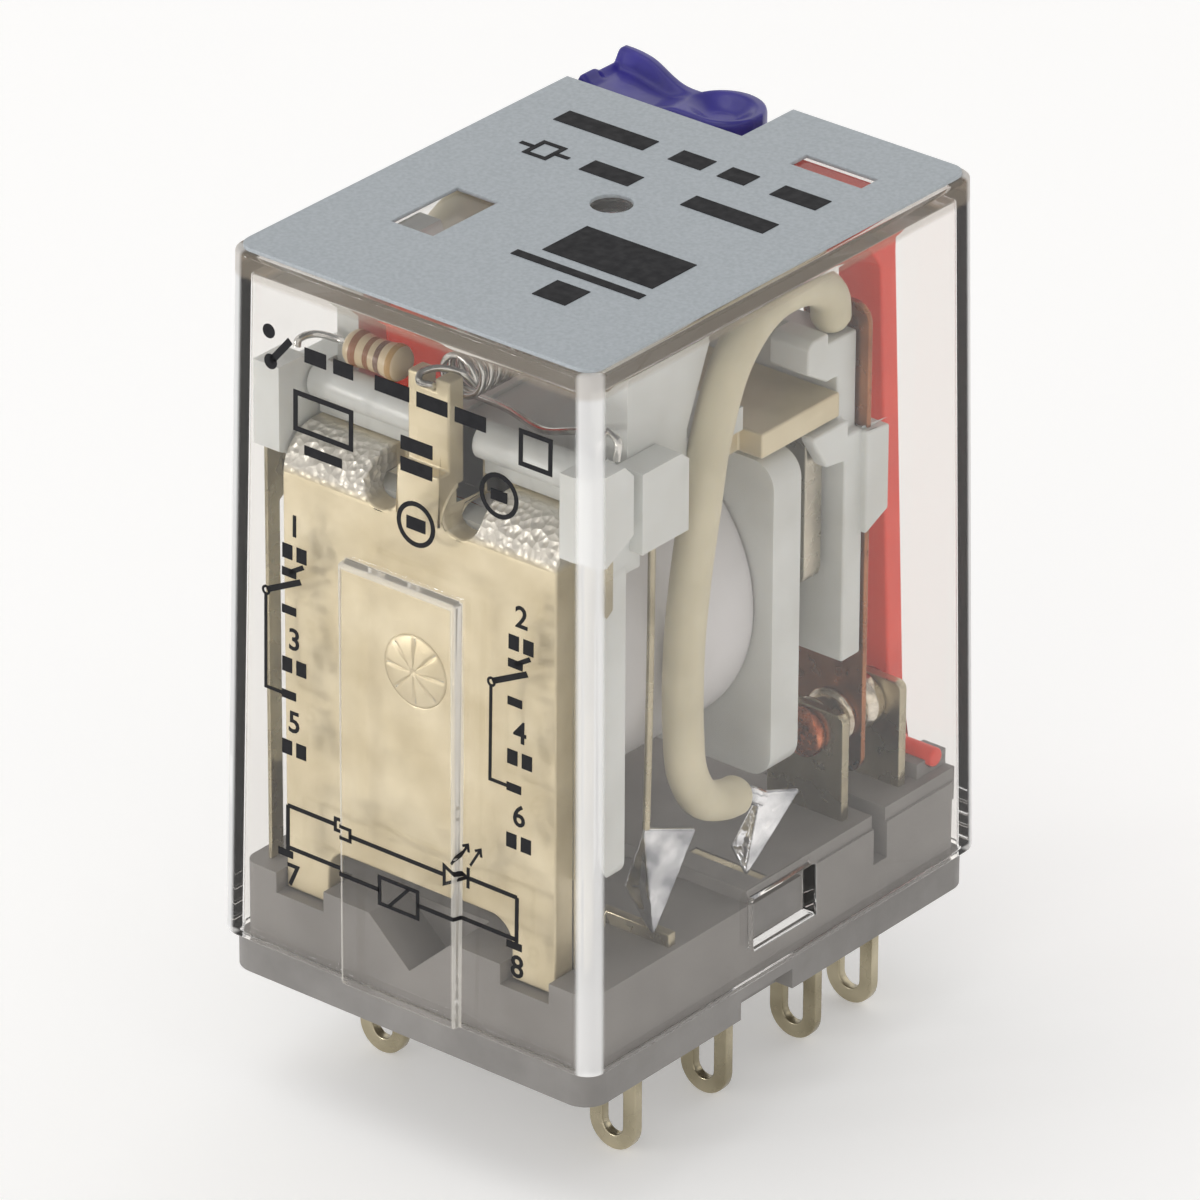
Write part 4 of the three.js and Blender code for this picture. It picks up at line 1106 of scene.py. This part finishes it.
class Sheet:
    """Collects closed, paper-thin shapes. Its place function lays a flat spot on the surface."""

    def __init__(self, place):
        self.place, self.points, self.faces = place, [], []

    def strip(self, left, right, closed=False):
        base, count = len(self.points), len(left)
        for a, b in zip(left, right):
            for spot in (a, b):
                self.points += [self.place(spot[0], spot[1], lift) for lift in (INK_FACE, INK_BACK)]
        for i in range(count if closed else count - 1):
            a, b = base + 4 * i, base + 4 * ((i + 1) % count)
            self.faces += [(a, b, b + 2, a + 2), (a + 1, a + 3, b + 3, b + 1),
                           (a, a + 1, b + 1, b), (a + 2, b + 2, b + 3, a + 3)]
        if not closed:
            end = base + 4 * (count - 1)
            self.faces += [(base, base + 2, base + 3, base + 1), (end, end + 1, end + 3, end + 2)]

    def line(self, *spots, width=0.18, closed=False):
        spots = [Vector(s) for s in spots]
        fine = []
        for i, spot in enumerate(spots):
            fine.append(spot)
            if i + 1 < len(spots):
                pieces = max(1, int((spots[i + 1] - spot).length / 0.15))
                fine += [spot.lerp(spots[i + 1], k / pieces) for k in range(1, pieces)]
        left, right = [], []
        for i, spot in enumerate(fine):
            before = fine[i - 1] if i or closed else spot
            after = fine[(i + 1) % len(fine)] if i + 1 < len(fine) or closed else spot
            one = (spot - before).normalized() if before != spot else (after - spot).normalized()
            two = (after - spot).normalized() if after != spot else one
            normal = Vector((-(one + two).y, (one + two).x)).normalized()
            reach = width / 2 / max(0.5, normal.dot(Vector((-one.y, one.x))))
            left.append(spot + normal * reach)
            right.append(spot - normal * reach)
        self.strip(left, right, closed)

    def bar(self, x0, y0, x1, y1):
        middle = (y0 + y1) / 2
        self.line((x0, middle), (x1, middle), width=abs(y1 - y0))

    def ring(self, x, y, radius, width=0.18, count=28):
        angles = [2 * math.pi * k / count for k in range(count)]
        outer, inner = ([(x + r * math.cos(angle), y + r * math.sin(angle)) for angle in angles]
                        for r in (radius + width / 2, radius - width / 2))
        self.strip(outer, inner, True)

    def dot(self, x, y, radius):
        self.ring(x, y, radius / 2, radius * 0.98, 16)

    def digit(self, text, x, y, size):
        curve = bpy.data.curves.new("digit", "FONT")
        curve.body = text
        curve.size = size
        curve.align_x = "CENTER"
        curve.align_y = "CENTER"
        curve.resolution_u = 3
        curve.offset = 0.014 * size
        holder = bpy.data.objects.new("digit", curve)
        bpy.context.scene.collection.objects.link(holder)
        bpy.context.view_layer.update()
        graph = bpy.context.evaluated_depsgraph_get()
        flat = bpy.data.meshes.new_from_object(holder.evaluated_get(graph))
        shape = bmesh.new()
        shape.from_mesh(flat)
        bmesh.ops.remove_doubles(shape, verts=shape.verts, dist=1e-5)
        grown_face = bmesh.ops.extrude_face_region(shape, geom=shape.faces[:])
        lifted = {v for v in grown_face["geom"] if isinstance(v, bmesh.types.BMVert)}
        base = len(self.points)
        shape.verts.index_update()
        for vertex in shape.verts:
            lift = INK_FACE if vertex in lifted else INK_BACK
            self.points.append(self.place(x + vertex.co.x, y + vertex.co.y, lift))
        self.faces += [tuple(base + v.index for v in face.verts) for face in shape.faces]
        shape.free()
        bpy.data.objects.remove(holder)

    def made(self, name, material, body, slot):
        mesh = bpy.data.meshes.new(name)
        mesh.from_pydata(self.points, [], self.faces)
        piece = new_object(name, outward(mesh), material)
        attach(piece, body)
        print(name, len(mesh.polygons), "faces")
        return piece


# %% [markdown]
# The front carries the wiring diagram: a change-over contact on each side, and the coil circuit below. Both
# contacts are the same drawing, so one function makes them, and straight strokes and rings make up the
# rest.

# %% Front print
front = Sheet(on_front)


def contact_symbol(sheet, x, z, numbers):
    """A change-over contact: two fixed points, a blade between them, and its common line."""
    for number, rise in zip(numbers, (3.45, -2.0, -6.0)):
        sheet.digit(number, x, z + rise, 1.45)
        for shift in (-0.4, 0.4):
            sheet.bar(x + shift - 0.28, z + rise - 1.6, x + shift + 0.28, z + rise - 0.9)
    for level in (1.2, -0.6, -4.7):
        sheet.bar(x - 0.7, z + level - 0.2, x + 0.1, z + level + 0.2)
    sheet.line((x - 1.55, z), (x + 0.35, z + 0.95), width=0.28)
    sheet.line((x - 0.3, z + 1.2), (x + 0.5, z + 1.7), width=0.22)
    sheet.ring(x - 1.6, z - 0.05, 0.18, 0.12, 14)
    sheet.line((x - 1.62, z - 0.25), (x - 1.62, z - 4.7), (x - 0.7, z - 4.7), width=0.16)


contact_symbol(front, -6.15, 19.4, ("1", "3", "5"))
contact_symbol(front, 6.45, 19.2, ("2", "4", "6"))
# the coil circuit: upper rail with a resistor and a diode, lower rail with the coil
for rail in ((-6.5, -3.8), (-2.6, 2.6), (3.7, 6.4)):
    front.line((rail[0], 9.3), (rail[1], 9.3), width=0.2)
front.line((-3.8, 9.05), (-2.6, 9.05), (-2.6, 9.6), (-3.8, 9.6), width=0.16, closed=True)
front.line((2.7, 8.85), (2.7, 9.75), (3.6, 9.3), width=0.16, closed=True)
front.line((3.68, 8.8), (3.68, 9.8), width=0.16)
for shift in (0, 0.7):
    front.line((3.1 + shift, 9.95), (3.6 + shift, 10.8), width=0.12)
    front.line((3.35 + shift, 10.75), (3.65 + shift, 10.9), (3.7 + shift, 10.55), width=0.12)
front.line((-6.4, 7.25), (-0.95, 7.25), width=0.2)
front.line((1.2, 7.25), (6.4, 7.25), width=0.2)
front.line((-0.95, 6.6), (1.2, 6.6), (1.2, 7.9), (-0.95, 7.9), width=0.18, closed=True)
front.line((-0.4, 6.65), (0.7, 7.85), width=0.16)
for x in (-6.5, 6.4):
    front.line((x, 9.3), (x, 7.1), width=0.2)
    front.bar(x - 0.55, 6.75, x + 0.3, 7.1)
front.digit("7", -6.2, 5.9, 1.5)
front.digit("8", 6.45, 5.9, 1.5)
# blank bars and plain outlines
front.dot(-7.6, 31.7, 0.34)
front.dot(-7.5, 30.3, 0.36)
front.line((-7.5, 30.3), (-6.4, 31.6), width=0.34)
for x0, x1 in ((-5.6, -4.4), (-4.0, -2.9), (-1.7, 0.2), (0.6, 2.3), (2.7, 4.4)):
    front.bar(x0, 30.75 - 0.02 * x0, x1, 31.45 - 0.02 * x0)
front.line((-6.1, 27.6), (-3.0, 27.6), (-3.0, 29.3), (-6.1, 29.3), width=0.24, closed=True)
front.bar(-5.6, 26.5, -3.5, 26.95)
front.ring(0.62, 25.2, 0.95, 0.22)
front.bar(0.1, 24.9, 1.15, 25.5)
front.bar(-0.25, 27.5, 1.5, 28.15)
front.bar(-0.25, 28.5, 1.5, 29.15)
front.ring(5.15, 28.0, 0.95, 0.22)
front.bar(4.7, 27.75, 5.6, 28.25)
front.line((6.3, 29.9), (7.9, 29.9), (7.9, 31.4), (6.3, 31.4), width=0.22, closed=True)
front.made("front_print", ink, "housing", "label")

# %% [markdown]
# The label on the roof has blank bars where its lines of print would be, and one small resistor sign.

# %% Label print
label = Sheet(on_top)
for x0, x1 in ((-7.3, -2.3), (-0.9, 0.9), (1.8, 3.3), (4.7, 7.2)):
    label.bar(x0, 5.35, x1, 6.5)
for x0, x1 in ((-3.2, -0.5), (2.4, 6.9)):
    label.bar(x0, 2.1, x1, 3.25)
label.line((-6.1, 2.0), (-5.0, 2.0), (-5.0, 3.3), (-6.1, 3.3), width=0.24, closed=True)
label.line((-6.9, 2.65), (-6.2, 2.65), width=0.24)
label.line((-4.9, 2.65), (-4.2, 2.65), width=0.24)
label.bar(0.7, -5.1, 6.7, -2.1)
label.bar(-0.1, -6.25, 6.9, -5.75)
label.bar(3.1, -8.7, 4.9, -7.0)
label.made("label_print", ink, "housing", "label")
